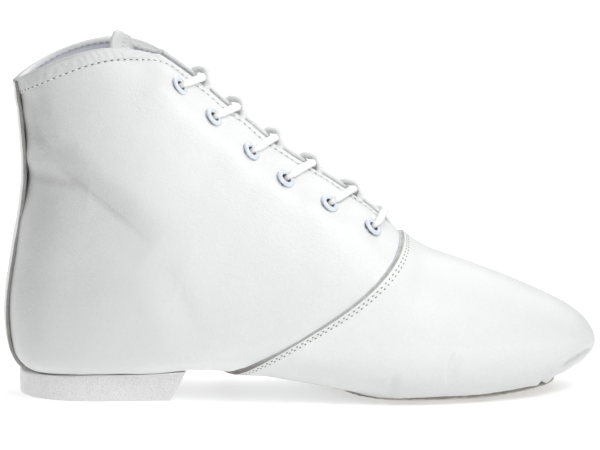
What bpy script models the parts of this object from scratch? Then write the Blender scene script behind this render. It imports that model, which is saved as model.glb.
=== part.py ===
"""White leather lace-up jazz boot with a split sole, built around the form of its last.

A right boot, in metres: +X points to the toe, +Y to the inner (big toe) side and +Z up.
It stands on the floor, z = 0, on its heel block and on its forefoot sole.
"""

import math
from collections import namedtuple

import bmesh
import bpy
import numpy as np
from mathutils import Matrix, Vector

# Driving dimensions
BOOT_LENGTH = 0.252
BALL_WIDTH = 0.084
COLLAR_HEIGHT = 0.150
WALL = 0.0016
SEAT_GAP = 0.0003

# How many metres of a section one radian of bend counts for when points are spread along it
BEND_WORTH = 0.025

# Vamp edge: the vamp laps over the quarters, so its wall is a step thicker there and thins out ahead
VAMP_STEP = 0.0010
VAMP_FADE = 0.016

# Throat and collar
THROAT_GAP_LOW = 0.0012
THROAT_GAP_TOP = 0.0045
CORNER_REACH = 0.024
CORNER_DROP = 0.011

# Openings under the upper, as half widths
FOREFOOT_HOLE = 0.022
HEEL_HOLE = 0.015

# Soles
SOLE_THICKNESS = 0.0020
SOLE_SHARE = 0.80
INSOLE_THICKNESS = 0.0020
INSOLE_CLEARANCE = 0.0010
INSOLE_SHARE = 0.70
HEEL_BACK_X = -0.1195
HEEL_TOP_FRONT_X = -0.0475
HEEL_FLOOR_FRONT_X = -0.0545
HEEL_HALF_WIDTH = 0.0275
HEEL_FRONT_TAPER = 0.0020
HEEL_ROUNDNESS = 0.86
HEEL_BACK_TOP = 0.0098
HEEL_FRONT_TOP = 0.0132

# Tongue, from under the vamp to above the collar
TONGUE_THICKNESS = 0.0016
TONGUE_HALF_LOW = 0.012
TONGUE_HALF_TOP = 0.021
TONGUE_DEPTH_LOW = 0.0009
TONGUE_DEPTH_TOP = 0.0022
TONGUE_TIP_ROWS = 0.9

# Collar binding and back stay
BINDING_THICKNESS = 0.0009
BINDING_OUTSIDE = 0.0060
BINDING_INSIDE = 0.0050
BINDING_SETBACK = 0.0020
STAY_THICKNESS = 0.0013
STAY_HALF_LOW = 0.0100
STAY_HALF_TOP = 0.0085

# Eyelets: six a side, counted from the top, each on a row of the last and inset from the throat edge
EYELET_HOLE_RADIUS = 0.0026
EYELET_BARREL_RADIUS = 0.0023
EYELET_BORE_RADIUS = 0.0019
EYELET_FLANGE_RADIUS = 0.0043
EYELET_FLANGE_HEIGHT = 0.0006
Eyelet = namedtuple("Eyelet", "row inset")
EYELETS = (
    Eyelet(15.60, 0.0136),
    Eyelet(14.05, 0.0146),
    Eyelet(12.65, 0.0160),
    Eyelet(11.75, 0.0178),
    Eyelet(10.85, 0.0184),
    Eyelet(9.90, 0.0176),
)

# Lace
LACE_RADIUS = 0.0016
LACE_CLEARANCE = 0.0006
LACE_LIFT = 0.0022

# The last, as sections from the toe tip to above the collar. Lengths are millimetres of the pattern
# size below, which the driving dimensions grade. A section runs from its top point to its low point
# in the side view, pulled off the straight line by its bow. Swing is the middle line's shift to the
# inner side, outer and inner are half widths, widest is how far down the greatest width lies, and
# crown and base are the powers that square the upper and the lower half of the section.
PATTERN_LENGTH = 252.0
PATTERN_BALL = 84.0
PATTERN_COLLAR = 150.0
Section = namedtuple(
    "Section",
    "name top_x top_z low_x low_z bow_x bow_z swing outer inner widest crown base",
)
SECTIONS = (
    Section("toe tip", 124.0, 20.2, 124.0, 20.2, 0.0, 0.0, 6.0, 0.0, 0.0, 0.50, 2.0, 2.0),
    Section("toe nose", 122.5, 25.0, 122.3, 15.9, 0.0, 0.0, 5.9, 7.8, 7.4, 0.52, 2.0, 2.2),
    Section("toe round", 118.4, 30.1, 117.6, 12.2, 0.0, 0.0, 5.5, 15.0, 14.4, 0.55, 2.0, 2.5),
    Section("toe box", 111.2, 35.0, 110.2, 9.0, 0.0, 0.0, 4.8, 21.6, 21.2, 0.58, 2.0, 2.9),
    Section("toes", 100.0, 40.7, 98.6, 6.0, 0.0, 0.0, 3.8, 28.0, 27.8, 0.61, 2.0, 3.4),
    Section("toe roots", 86.0, 46.9, 83.6, 4.1, 0.0, 0.0, 2.6, 33.4, 33.6, 0.63, 2.0, 3.9),
    Section("inner ball", 71.0, 52.7, 66.0, 3.6, 1.0, -1.0, 1.4, 37.6, 38.0, 0.64, 2.0, 4.2),
    Section("ball", 58.5, 57.2, 45.0, 3.6, 5.0, -1.0, 0.2, 40.2, 39.6, 0.65, 2.0, 4.2),
    Section("outer ball", 49.5, 61.0, 16.0, 5.6, 16.0, 1.0, -0.8, 40.0, 37.6, 0.65, 2.0, 3.8),
    Section("vamp seam", 42.0, 65.2, -30.0, 12.4, 32.0, 6.5, -1.2, 37.8, 35.0, 0.65, 2.3, 3.4),
    Section("lower eyelet", 30.0, 76.0, -62.0, 11.8, 24.0, 1.0, -1.0, 35.0, 33.0, 0.69, 2.6, 3.6),
    Section("instep", 13.0, 88.4, -90.0, 10.8, 14.0, -3.0, -0.6, 32.6, 31.4, 0.72, 2.7, 4.0),
    Section("heel seat", -6.0, 100.6, -110.0, 11.4, 6.0, -2.0, -0.3, 31.2, 30.4, 0.73, 2.7, 3.8),
    Section("heel corner", -21.0, 112.4, -119.8, 18.2, 2.0, -1.0, 0.0, 30.0, 29.4, 0.70, 2.7, 3.0),
    Section("heel bulge", -32.0, 121.6, -122.6, 36.0, 0.0, 0.0, 0.0, 29.2, 28.8, 0.66, 2.7, 2.4),
    Section("above heel", -41.5, 130.0, -119.4, 61.0, 0.0, 0.0, 0.0, 28.4, 28.2, 0.63, 2.6, 2.2),
    Section("ankle", -49.6, 137.0, -115.2, 86.0, 0.0, 1.0, 0.0, 27.4, 27.2, 0.62, 2.4, 2.2),
    Section("upper ankle", -57.5, 142.6, -115.2, 108.0, 0.0, 4.0, 0.0, 26.0, 25.8, 0.62, 2.2, 2.2),
    Section("collar", -66.0, 147.4, -117.2, 133.0, -2.0, 9.0, 0.0, 24.4, 24.4, 0.63, 2.1, 2.2),
    Section("tongue end", -76.0, 155.5, -118.5, 146.0, -3.0, 10.0, 0.0, 23.4, 23.4, 0.64, 2.0, 2.2),
)
ROW = {section.name: float(index) for index, section in enumerate(SECTIONS)}
SEAM_ROW = ROW["vamp seam"]
COLLAR_ROW = ROW["collar"]
TONGUE_ROWS = (7.7, 18.95)
THROAT_ROW = SEAM_ROW + 0.25
CORNER_ROW = 15.0
FOREFOOT_HOLE_ROWS = (4.0, 7.5)
HEEL_HOLE_ROWS = (10.5, 12.5)
FOREFOOT_SOLE_ROWS = (3.3, 8.0)
INSOLE_ROWS = (2.2, 12.0)
STAY_ROWS = (12.5, 17.62)
OUTER_SIDE = -1
INNER_SIDE = 1
SIDES = (OUTER_SIDE, INNER_SIDE)


def bends_through(values):
    """Second derivatives of the natural cubic spline through rows at whole-number knots."""
    count = len(values)
    system = np.eye(count)
    bends = np.zeros_like(values)
    for i in range(1, count - 1):
        system[i, i - 1 : i + 2] = (1.0, 4.0, 1.0)
        bends[i] = 6.0 * (values[i - 1] - 2.0 * values[i] + values[i + 1])
    return np.linalg.solve(system, bends)


def graded_table():
    """The sections in metres, with the second one turned over ahead of the tip so the toe is round."""
    along = BOOT_LENGTH / PATTERN_LENGTH
    across = BALL_WIDTH / PATTERN_BALL
    up = COLLAR_HEIGHT / PATTERN_COLLAR
    grades = dict(
        top_x=along, top_z=up, low_x=along, low_z=up, bow_x=along, bow_z=up,
        swing=across, outer=across, inner=across,
    )
    rows = []
    for section in SECTIONS:
        sizes = [getattr(section, name) * grade for name, grade in grades.items()]
        rows.append(sizes + [section.widest, section.crown, section.base])
    table = np.array(rows)
    turned = table[1].copy()
    turned[[0, 1, 2, 3]] = table[1][[2, 3, 0, 1]]
    turned[[7, 8]] *= -1.0
    return np.vstack([turned, table])


TABLE = graded_table()
BENDS = bends_through(TABLE)


def section_at(row):
    """The last's columns at any row number, whole or between two sections."""
    spot = min(max(row + 1.0, 0.0), len(TABLE) - 1.0)
    i = min(int(spot), len(TABLE) - 2)
    b = spot - i
    a = 1.0 - b
    bend = (a**3 - a) * BENDS[i] + (b**3 - b) * BENDS[i + 1]
    return a * TABLE[i] + b * TABLE[i + 1] + bend / 6.0


def last_point(row, turn, side):
    """A point of the last: turn is 0 on the top line, 0.5 at the widest place and 1 on the low line."""
    top_x, top_z, low_x, low_z, bow_x, bow_z, swing, outer, inner, widest, crown, base = section_at(row)
    angle = turn * math.pi
    power = 2.0 / (crown if turn < 0.5 else base)
    across = math.copysign(abs(math.sin(angle)) ** power, math.sin(angle))
    reach = abs(math.cos(angle)) ** power
    down = widest * (1.0 - reach) if turn < 0.5 else widest + (1.0 - widest) * reach
    up = 1.0 - down
    pull = 2.0 * up * down
    x = up * top_x + down * low_x + pull * bow_x
    z = up * top_z + down * low_z + pull * bow_z
    half = outer if side == OUTER_SIDE else inner
    return Vector((x, swing + side * half * across, z))


def outward(row, turn, side):
    """The last's unit normal."""
    step = 0.002
    row = max(row, 0.03)
    turn = min(max(turn, 0.03), 0.97)
    along = last_point(row + step, turn, side) - last_point(row - step, turn, side)
    round_it = last_point(row, turn + step, side) - last_point(row, turn - step, side)
    return (round_it.cross(along) * side).normalized()


def skin(row, turn, side, offset):
    """A point that lies off the last by offset, along its normal."""
    if turn <= 0.03 or turn >= 0.97:
        middle = outward(row, turn, OUTER_SIDE) + outward(row, turn, INNER_SIDE)
        edge = outward(row, turn, side)
        share = min(turn, 1.0 - turn) / 0.03
        normal = middle.normalized().lerp(edge, max(share, 0.0)).normalized()
    else:
        normal = outward(row, turn, side)
    return last_point(row, turn, side) + normal * offset


def lengths_along(points):
    """The distance from the first point to each one, along them."""
    lengths = [0.0]
    for a, b in zip(points, points[1:]):
        lengths.append(lengths[-1] + (b - a).length)
    return lengths


def even_turns(row, side, first, last, count):
    """Turns from first to last along the section, closer together where it bends."""
    turns = np.linspace(first, last, 60)
    points = [last_point(row, turn, side) for turn in turns]
    steps = [b - a for a, b in zip(points, points[1:])]
    reach = [0.0]
    for i, step in enumerate(steps):
        bend = step.angle(steps[i - 1], 0.0) if i else 0.0
        reach.append(reach[-1] + step.length + BEND_WORTH * bend)
    return np.interp(np.linspace(0.0, reach[-1], count), reach, turns)


def turn_from(start, row, side, distance):
    """The turn that lies this far round the section from its top line, 0, or its low line, 1."""
    turns = np.linspace(start, 0.5, 48)
    points = [last_point(row, turn, side) for turn in turns]
    return float(np.interp(distance, lengths_along(points), turns))


def row_along(row, turn, side, distance):
    """The row that lies this far from another towards the collar, along the last."""
    speed = (last_point(row, turn, side) - last_point(row - 0.05, turn, side)).length / 0.05
    return row + distance / speed


def share_between(value, low, high):
    """How far a value has come from low to high, from 0 to 1."""
    return min(max((value - low) / (high - low), 0.0), 1.0)


def smooth(share):
    """A share that starts and ends gently."""
    return share * share * (3.0 - 2.0 * share)


def gathered(first, last, count):
    """Numbers from first to last that lie closer together towards both ends."""
    swing = np.cos(np.linspace(math.pi, 0.0, count))
    return 0.5 * (first + last) + 0.5 * (last - first) * swing


def throat_half(row):
    """Half the gap between the two throat edges."""
    if row <= THROAT_ROW:
        return 0.0
    opening = min((row - THROAT_ROW) / 0.4, 1.0)
    spread = share_between(row, THROAT_ROW, COLLAR_ROW)
    return opening * (THROAT_GAP_LOW + (THROAT_GAP_TOP - THROAT_GAP_LOW) * spread)


def hole_half(row):
    """Half the width of the openings under the upper, which the soles close."""
    for (first, last), half in ((FOREFOOT_HOLE_ROWS, FOREFOOT_HOLE), (HEEL_HOLE_ROWS, HEEL_HOLE)):
        if first < row < last:
            middle = 2.0 * share_between(row, first, last) - 1.0
            return half * (1.0 - middle * middle)
    return 0.0


def rounded_row(row, turn, side):
    """The row after the collar's front corner is rounded off."""
    if row <= CORNER_ROW:
        return row
    edge = last_point(row, turn_from(0.0, row, side, throat_half(row)), side)
    distance = (last_point(row, turn, side) - edge).length
    near = 1.0 - share_between(distance, 0.0, CORNER_REACH)
    top = row_along(COLLAR_ROW, turn, side, -CORNER_DROP * near * near)
    return CORNER_ROW + (row - CORNER_ROW) * (top - CORNER_ROW) / (COLLAR_ROW - CORNER_ROW)


def vamp_lap(row, turn, side):
    """How much of the lap's step the vamp's wall has: all of it at its edge, none further ahead."""
    if row > SEAM_ROW:
        return 0.0
    ahead = (last_point(row, turn, side) - last_point(SEAM_ROW, turn, side)).length
    return 1.0 - smooth(share_between(ahead, 0.001, VAMP_FADE))


def eyelet_place(eyelet, side):
    """The frame of an eyelet: its middle on the upper's outside, its axis along the normal."""
    turn = turn_from(0.0, eyelet.row, side, throat_half(eyelet.row) + eyelet.inset)
    middle = skin(eyelet.row, turn, side, WALL)
    turned = outward(eyelet.row, turn, side).to_track_quat("Z", "Y")
    return Matrix.LocRotScale(middle, turned, None)


def clear_scene():
    for obj in list(bpy.data.objects):
        bpy.data.objects.remove(obj)


def collection_named(name):
    made = bpy.data.collections.new(name)
    bpy.context.scene.collection.children.link(made)
    return made


def finish_named(name, colour, roughness):
    """A plain finish for one sub-part."""
    material = bpy.data.materials.new(name)
    material.use_nodes = True
    shader = material.node_tree.nodes["Principled BSDF"]
    shader.inputs["Base Color"].default_value = (*colour, 1.0)
    shader.inputs["Roughness"].default_value = roughness
    return material


def add_part(name, mesh, collection, colour, roughness):
    """One sub-part of the boot, with a finish of its own."""
    part = bpy.data.objects.new(name, mesh)
    collection.objects.link(part)
    mesh.materials.append(finish_named(name, colour, roughness))
    return part


def add_cutter(name, mesh, cutters):
    """A helper form that is not itself part of the boot."""
    cutter = bpy.data.objects.new(name, mesh)
    cutters.objects.link(cutter)
    cutter.hide_render = True
    cutter.display_type = "WIRE"
    return cutter


def mesh_named(name, bm):
    """Turns a worked mesh into a mesh block."""
    mesh = bpy.data.meshes.new(name)
    bm.to_mesh(mesh)
    bm.free()
    return mesh


def add_strips(bm, lines, flip, ring):
    """Quads between neighbouring lines of points; a ring also closes each line on itself."""
    made = [[bm.verts.new(point) for point in line] for line in lines]
    columns = len(lines[0])
    for low, high in zip(made, made[1:]):
        for i in range(columns if ring else columns - 1):
            j = (i + 1) % columns
            corners = [low[i], low[j], high[j], high[i]]
            bm.faces.new(corners[::-1] if flip else corners)
    return made


def open_loft(name, sides):
    """A sheet of two lofts, one a side, joined where their points coincide."""
    bm = bmesh.new()
    for side, lines in sides.items():
        add_strips(bm, lines, side == OUTER_SIDE, ring=False)
    bmesh.ops.remove_doubles(bm, verts=bm.verts, dist=1e-6)
    return mesh_named(name, bm)


def closed_loft(name, rings):
    """A closed form lofted through rings of points, with a flat face at each end."""
    bm = bmesh.new()
    made = add_strips(bm, rings, False, ring=True)
    bm.faces.new(made[0])
    bm.faces.new(made[-1])
    bmesh.ops.recalc_face_normals(bm, faces=bm.faces)
    return mesh_named(name, bm)


def sheet_on_last(name, rows, offset_of, first_of, last_of, columns):
    """A sheet that follows the last at an offset, between a first and a last turn at each row."""
    sides = {}
    for side in SIDES:
        sides[side] = []
        for row in rows:
            turns = even_turns(row, side, first_of(row, side), last_of(row, side), columns)
            sides[side].append([skin(row, turn, side, offset_of(row)) for turn in turns])
    return open_loft(name, sides)


def thicken(part, thickness, outwards):
    """A wall on one side of a sheet."""
    wall = part.modifiers.new("Wall", "SOLIDIFY")
    wall.thickness = thickness
    wall.offset = 1.0 if outwards else -1.0
    wall.use_even_offset = True
    return wall


def combine(part, other, operation, name):
    """Cuts another closed form out of a part, or joins it on."""
    boolean = part.modifiers.new(name, "BOOLEAN")
    boolean.operation = operation
    boolean.solver = "EXACT"
    boolean.object = other


def low_line(row, side):
    return 1.0


def half_width(row, side):
    """The last's own half width on one side."""
    section = section_at(row)
    return section[7] if side == OUTER_SIDE else section[8]


def patch_edge(first, last, share, squareness):
    """A rule for the edge of a patch round the low line, rounded at its first and last row."""

    def edge_of(row, side):
        middle = 2.0 * share_between(row, first, last) - 1.0
        reach = share * half_width(row, side) * math.sqrt(1.0 - abs(middle) ** squareness)
        return turn_from(1.0, row, side, reach)

    return edge_of


def spot_key(point):
    """A point rounded so that it can be looked up."""
    return tuple(round(value, 6) for value in point)


def build_upper(boot, cutters):
    """Vamp and quarters as one hollow wall, open at the collar, along the throat and underneath."""
    half_step = 0.015
    rows = [0.0, 0.3, 0.65, 1.0, 1.5, 2.0, 2.5]
    rows += list(np.arange(3.0, SEAM_ROW - 0.6, 0.5))
    rows += [SEAM_ROW - 0.45, SEAM_ROW - 0.2, SEAM_ROW - half_step, SEAM_ROW + half_step]
    rows += [THROAT_ROW] + list(np.arange(SEAM_ROW + 0.5, COLLAR_ROW + 0.1, 0.5))
    sides = {}
    walls = {}
    for side in SIDES:
        sides[side] = []
        for row in rows:
            first = turn_from(0.0, row, side, throat_half(row))
            last = turn_from(1.0, row, side, hole_half(row))
            line = []
            for turn in even_turns(row, side, first, last, 16):
                point = last_point(rounded_row(row, turn, side), turn, side)
                line.append(point)
                walls[spot_key(point)] = WALL + VAMP_STEP * vamp_lap(row, turn, side)
            sides[side].append(line)
    upper = add_part("upper", open_loft("upper", sides), boot, (0.86, 0.87, 0.86), 0.42)

    thickest = WALL + VAMP_STEP
    group = upper.vertex_groups.new(name="Wall share")
    for vertex in upper.data.vertices:
        group.add([vertex.index], walls[spot_key(vertex.co)] / thickest, "REPLACE")
    wall = thicken(upper, thickest, outwards=True)
    wall.vertex_group = group.name

    drills = bmesh.new()
    for side in SIDES:
        for eyelet in EYELETS:
            bmesh.ops.create_cone(
                drills, cap_ends=True, segments=12, matrix=eyelet_place(eyelet, side),
                radius1=EYELET_HOLE_RADIUS, radius2=EYELET_HOLE_RADIUS, depth=8.0 * WALL,
            )
    holes = add_cutter("eyelet_holes", mesh_named("eyelet_holes", drills), cutters)
    combine(upper, holes, "DIFFERENCE", "Eyelet holes")


def build_forefoot_sole(boot, cutters):
    """A thin sole patch that follows the forefoot and is flat where it stands on the floor."""
    first, last = FOREFOOT_SOLE_ROWS
    mesh = sheet_on_last(
        "forefoot_sole", gathered(first, last, 19), lambda row: WALL + SEAT_GAP,
        patch_edge(first, last, SOLE_SHARE, 5.0), low_line, 8,
    )
    sole = add_part("forefoot_sole", mesh, boot, (0.62, 0.58, 0.52), 0.85)
    thicken(sole, SOLE_THICKNESS, outwards=True)

    below = bmesh.new()
    bmesh.ops.create_cube(below, size=BOOT_LENGTH, matrix=Matrix.Translation((0.0, 0.0, -0.5 * BOOT_LENGTH)))
    floor = add_cutter("below_floor", mesh_named("below_floor", below), cutters)
    combine(sole, floor, "DIFFERENCE", "Flat on the floor")


def heel_outline(front):
    """The heel block's outline, with rounded back corners, from its inner front corner round the back."""
    depth = 1.25 * HEEL_HALF_WIDTH
    outline = [(front, HEEL_HALF_WIDTH - HEEL_FRONT_TAPER)]
    for angle in np.linspace(0.0, math.pi, 21):
        across = math.copysign(abs(math.cos(angle)) ** HEEL_ROUNDNESS, math.cos(angle))
        along = math.sin(angle) ** HEEL_ROUNDNESS
        outline.append((HEEL_BACK_X + depth * (1.0 - along), HEEL_HALF_WIDTH * across))
    outline.append((front, HEEL_FRONT_TAPER - HEEL_HALF_WIDTH))
    return outline


def build_heel(boot, cutters):
    """A block with a D outline and a slanting front, hollowed to seat the upper's heel."""
    rise = (HEEL_FRONT_TOP - HEEL_BACK_TOP) / (HEEL_TOP_FRONT_X - HEEL_BACK_X)
    base = [Vector((x, y, 0.0)) for x, y in heel_outline(HEEL_FLOOR_FRONT_X)]
    top = []
    for x, y in heel_outline(HEEL_TOP_FRONT_X):
        top.append(Vector((x, y, HEEL_BACK_TOP + rise * (x - HEEL_BACK_X))))
    heel = add_part("heel", closed_loft("heel", [base, top]), boot, (0.55, 0.55, 0.54), 0.9)

    rings = []
    for row in np.linspace(SEAM_ROW - 0.5, ROW["ankle"], 27):
        turns = {side: even_turns(row, side, 0.0, 1.0, 27) for side in SIDES}
        ring = [skin(row, turn, OUTER_SIDE, WALL + SEAT_GAP) for turn in turns[OUTER_SIDE][:-1]]
        ring += [skin(row, turn, INNER_SIDE, WALL + SEAT_GAP) for turn in turns[INNER_SIDE][:0:-1]]
        rings.append(ring)
    seat = add_cutter("heel_seat", closed_loft("heel_seat", rings), cutters)
    combine(heel, seat, "DIFFERENCE", "Heel seat")


def build_insole(boot):
    """A thin sheet on the floor of the boot, from the toes to the heel."""
    first, last = INSOLE_ROWS
    mesh = sheet_on_last(
        "insole", gathered(first, last, 19), lambda row: -INSOLE_CLEARANCE,
        patch_edge(first, last, INSOLE_SHARE, 6.0), low_line, 7,
    )
    insole = add_part("insole", mesh, boot, (0.80, 0.76, 0.70), 0.8)
    thicken(insole, INSOLE_THICKNESS, outwards=False)


def build_tongue(boot):
    """A sheet under the throat, from beneath the vamp to a rounded end above the collar."""
    first, last = TONGUE_ROWS
    sides = {}
    for side in SIDES:
        sides[side] = []
        for row in np.linspace(first, last, 21):
            share = share_between(row, first, last)
            low_end = 1.0 - share_between(share, 0.0, 0.1)
            half = TONGUE_HALF_LOW + (TONGUE_HALF_TOP - TONGUE_HALF_LOW) * share
            half *= math.sqrt(1.0 - 0.9 * low_end * low_end)
            depth = smooth(share_between(row, ROW["instep"], ROW["upper ankle"]))
            offset = -TONGUE_DEPTH_LOW - (TONGUE_DEPTH_TOP - TONGUE_DEPTH_LOW) * depth
            tip = TONGUE_TIP_ROWS * smooth(share_between(row, ROW["ankle"], last))
            line = []
            for across in np.linspace(0.0, 1.0, 6):
                turn = turn_from(0.0, row, side, half * across)
                line.append(skin(row - tip * across**3, turn, side, offset))
            sides[side].append(line)
    tongue = add_part("tongue", open_loft("tongue", sides), boot, (0.84, 0.84, 0.82), 0.6)
    thicken(tongue, TONGUE_THICKNESS, outwards=False)


def build_back_stay(boot):
    """A strip up the back, over the seam that joins the quarters."""
    first, last = STAY_ROWS

    def edge_of(row, side):
        share = share_between(row, first, last)
        return turn_from(1.0, row, side, STAY_HALF_LOW + (STAY_HALF_TOP - STAY_HALF_LOW) * share)

    mesh = sheet_on_last(
        "back_stay", np.linspace(first, last, 19), lambda row: WALL + SEAT_GAP, edge_of, low_line, 4
    )
    stay = add_part("back_stay", mesh, boot, (0.82, 0.82, 0.80), 0.5)
    thicken(stay, STAY_THICKNESS, outwards=True)


def build_collar_binding(boot):
    """A strip folded over the collar edge, from one front corner round the back to the other."""
    out = WALL + SEAT_GAP
    over = SEAT_GAP + BINDING_THICKNESS
    fold = (
        (-BINDING_OUTSIDE, out),
        (-BINDING_OUTSIDE, out + BINDING_THICKNESS),
        (0.0, out + BINDING_THICKNESS),
        (over, out),
        (over, -SEAT_GAP),
        (0.0, -over),
        (-BINDING_INSIDE, -over),
        (-BINDING_INSIDE, -SEAT_GAP),
        (SEAT_GAP, -SEAT_GAP),
        (SEAT_GAP, out),
    )
    stations = []
    for side in SIDES:
        start = turn_from(0.0, COLLAR_ROW, side, throat_half(COLLAR_ROW) + BINDING_SETBACK)
        half = [(turn, side) for turn in even_turns(COLLAR_ROW, side, start, 1.0, 19)]
        stations += half if side == OUTER_SIDE else half[-2::-1]
    rings = []
    for turn, side in stations:
        edge = rounded_row(COLLAR_ROW, turn, side)
        rings.append([skin(row_along(edge, turn, side, up), turn, side, off) for up, off in fold])
    add_part("collar_binding", closed_loft("collar_binding", rings), boot, (0.85, 0.86, 0.85), 0.45)


def build_eyelets(boot):
    """Turned eyelets: a barrel through the wall and a flange on the outside."""
    high = SEAT_GAP + EYELET_FLANGE_HEIGHT
    profile = (
        (EYELET_BORE_RADIUS, high),
        (EYELET_FLANGE_RADIUS - EYELET_FLANGE_HEIGHT, high),
        (EYELET_FLANGE_RADIUS, SEAT_GAP),
        (EYELET_BARREL_RADIUS, SEAT_GAP),
        (EYELET_BARREL_RADIUS, -WALL - SEAT_GAP),
        (EYELET_BORE_RADIUS, -WALL - SEAT_GAP),
    )
    for side, label in ((OUTER_SIDE, "outer"), (INNER_SIDE, "inner")):
        for number, eyelet in enumerate(EYELETS, 1):
            bm = bmesh.new()
            spots = [bm.verts.new((radius, 0.0, z)) for radius, z in profile]
            for a, b in zip(spots, spots[1:] + spots[:1]):
                bm.edges.new((a, b))
            name = f"eyelet_{label}_{number}"
            ring = add_part(name, mesh_named(name, bm), boot, (0.72, 0.78, 0.86), 0.3)
            turned = ring.modifiers.new("Turned", "SCREW")
            turned.steps = 12
            turned.render_steps = 12
            turned.use_merge_vertices = True
            turned.merge_threshold = 0.00001
            ring.matrix_world = eyelet_place(eyelet, side)


def curve_through(corners, per_span):
    """Points of a smooth curve through corners."""
    values = np.array([tuple(corner) for corner in corners])
    bends = bends_through(values)
    points = []
    for i in range(len(values) - 1):
        for b in np.linspace(0.0, 1.0, per_span, endpoint=False):
            a = 1.0 - b
            bend = (a**3 - a) * bends[i] + (b**3 - b) * bends[i + 1]
            points.append(Vector(a * values[i] + b * values[i + 1] + bend / 6.0))
    points.append(Vector(values[-1]))
    return points


def cord_mesh(name, points):
    """A round cord along points, as a closed mesh."""
    curve = bpy.data.curves.new(name, "CURVE")
    curve.dimensions = "3D"
    curve.bevel_depth = LACE_RADIUS
    curve.bevel_resolution = 2
    curve.use_fill_caps = True
    spline = curve.splines.new("POLY")
    spline.points.add(len(points) - 1)
    for spot, point in zip(spline.points, points):
        spot.co = (*point, 1.0)
    guide = bpy.data.objects.new(name, curve)
    graph = bpy.context.evaluated_depsgraph_get()
    tube = bpy.data.meshes.new_from_object(guide.evaluated_get(graph))
    bpy.data.objects.remove(guide)
    bm = bmesh.new()
    bm.from_mesh(tube)
    bmesh.ops.remove_doubles(bm, verts=bm.verts, dist=1e-6)
    bmesh.ops.recalc_face_normals(bm, faces=bm.faces)
    return mesh_named(name, bm)


def over_throat(row, side, inset, lift):
    """A lace's middle where it lies above the leather, this far from the throat edge on one side."""
    distance = max(throat_half(row) + inset, 0.0)
    turn = turn_from(0.0, row, side, distance)
    return skin(row, turn, side, WALL + LACE_RADIUS + LACE_CLEARANCE + lift)


def build_lace(boot, cutters):
    """A bar across the lowest eyelets and a crossing between each pair above, clear of the rest."""
    colour = (0.90, 0.90, 0.89)
    stop = EYELET_FLANGE_RADIUS + LACE_RADIUS + LACE_CLEARANCE
    low = EYELETS[-1]
    bar = [
        over_throat(low.row, OUTER_SIDE, low.inset - stop, 0.0),
        over_throat(low.row, OUTER_SIDE, 0.0, 0.0008),
        over_throat(low.row, INNER_SIDE, 0.0, 0.0008),
        over_throat(low.row, INNER_SIDE, low.inset - stop, 0.0),
    ]
    add_part("lace_bar", cord_mesh("lace_bar", curve_through(bar, 3)), boot, colour, 0.8)

    for number, (eyelet, below) in enumerate(zip(EYELETS, EYELETS[1:]), 1):
        pitch = eyelet.row - below.row
        name = f"lace_crossing_{number}"
        strands = []
        for side, lift in ((OUTER_SIDE, 0.0), (INNER_SIDE, LACE_LIFT)):
            path = [
                over_throat(eyelet.row - 0.10 * pitch, side, eyelet.inset - stop, 0.0),
                over_throat(eyelet.row - 0.25 * pitch, side, 0.0010, 0.0006 + 0.5 * lift),
                over_throat(eyelet.row - 0.45 * pitch, side, -THROAT_GAP_TOP, 0.0006 + lift),
                over_throat(eyelet.row - 0.62 * pitch, -side, 0.0005, 0.0002 + 0.4 * lift),
            ]
            strands.append(cord_mesh(name, curve_through(path, 3)))
        crossing = add_part(name, strands[0], boot, colour, 0.8)
        upper_strand = add_cutter(f"{name}_upper_strand", strands[1], cutters)
        combine(crossing, upper_strand, "UNION", "Crossing")


def centre_on_floor(boot, cutters):
    """Shifts the boot so that the middle of its footprint is the origin."""
    bpy.context.view_layer.update()
    graph = bpy.context.evaluated_depsgraph_get()
    points = []
    for part in boot.objects:
        evaluated = part.evaluated_get(graph)
        points += [evaluated.matrix_world @ vertex.co for vertex in evaluated.data.vertices]
    middle = [0.5 * (min(p[i] for p in points) + max(p[i] for p in points)) for i in (0, 1)]
    shift = Matrix.Translation((-middle[0], -middle[1], 0.0))
    for obj in list(boot.objects) + list(cutters.objects):
        obj.matrix_world = shift @ obj.matrix_world


def main():
    clear_scene()
    boot = collection_named("jazz_boot")
    cutters = collection_named("cutters")
    build_upper(boot, cutters)
    build_forefoot_sole(boot, cutters)
    build_heel(boot, cutters)
    build_insole(boot)
    build_tongue(boot)
    build_collar_binding(boot)
    build_back_stay(boot)
    build_eyelets(boot)
    build_lace(boot, cutters)
    centre_on_floor(boot, cutters)


if __name__ == "__main__":
    main()
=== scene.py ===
"""Looks of a white leather jazz boot: its panels, seams, lacing and soles, in a plain studio.

A right boot, in metres: +X points to the toe, +Y to the inner (big toe) side and +Z up.
Every panel is worked from the same last as the boot's solids, so it lies where its solid lies.
"""

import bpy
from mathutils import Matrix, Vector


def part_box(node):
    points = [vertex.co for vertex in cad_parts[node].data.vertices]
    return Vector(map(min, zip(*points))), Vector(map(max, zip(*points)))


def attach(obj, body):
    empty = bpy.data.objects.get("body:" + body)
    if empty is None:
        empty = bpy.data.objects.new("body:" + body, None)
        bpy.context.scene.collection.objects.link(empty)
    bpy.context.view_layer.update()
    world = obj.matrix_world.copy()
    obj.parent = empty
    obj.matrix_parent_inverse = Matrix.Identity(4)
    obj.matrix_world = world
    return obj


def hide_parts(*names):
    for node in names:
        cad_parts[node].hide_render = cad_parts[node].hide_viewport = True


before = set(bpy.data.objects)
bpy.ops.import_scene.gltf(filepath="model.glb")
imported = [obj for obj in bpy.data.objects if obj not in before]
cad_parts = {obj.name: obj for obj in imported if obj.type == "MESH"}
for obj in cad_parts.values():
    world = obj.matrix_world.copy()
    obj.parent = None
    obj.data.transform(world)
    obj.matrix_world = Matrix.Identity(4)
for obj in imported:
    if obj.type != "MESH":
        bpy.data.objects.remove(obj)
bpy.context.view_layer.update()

import math
from collections import namedtuple

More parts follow.
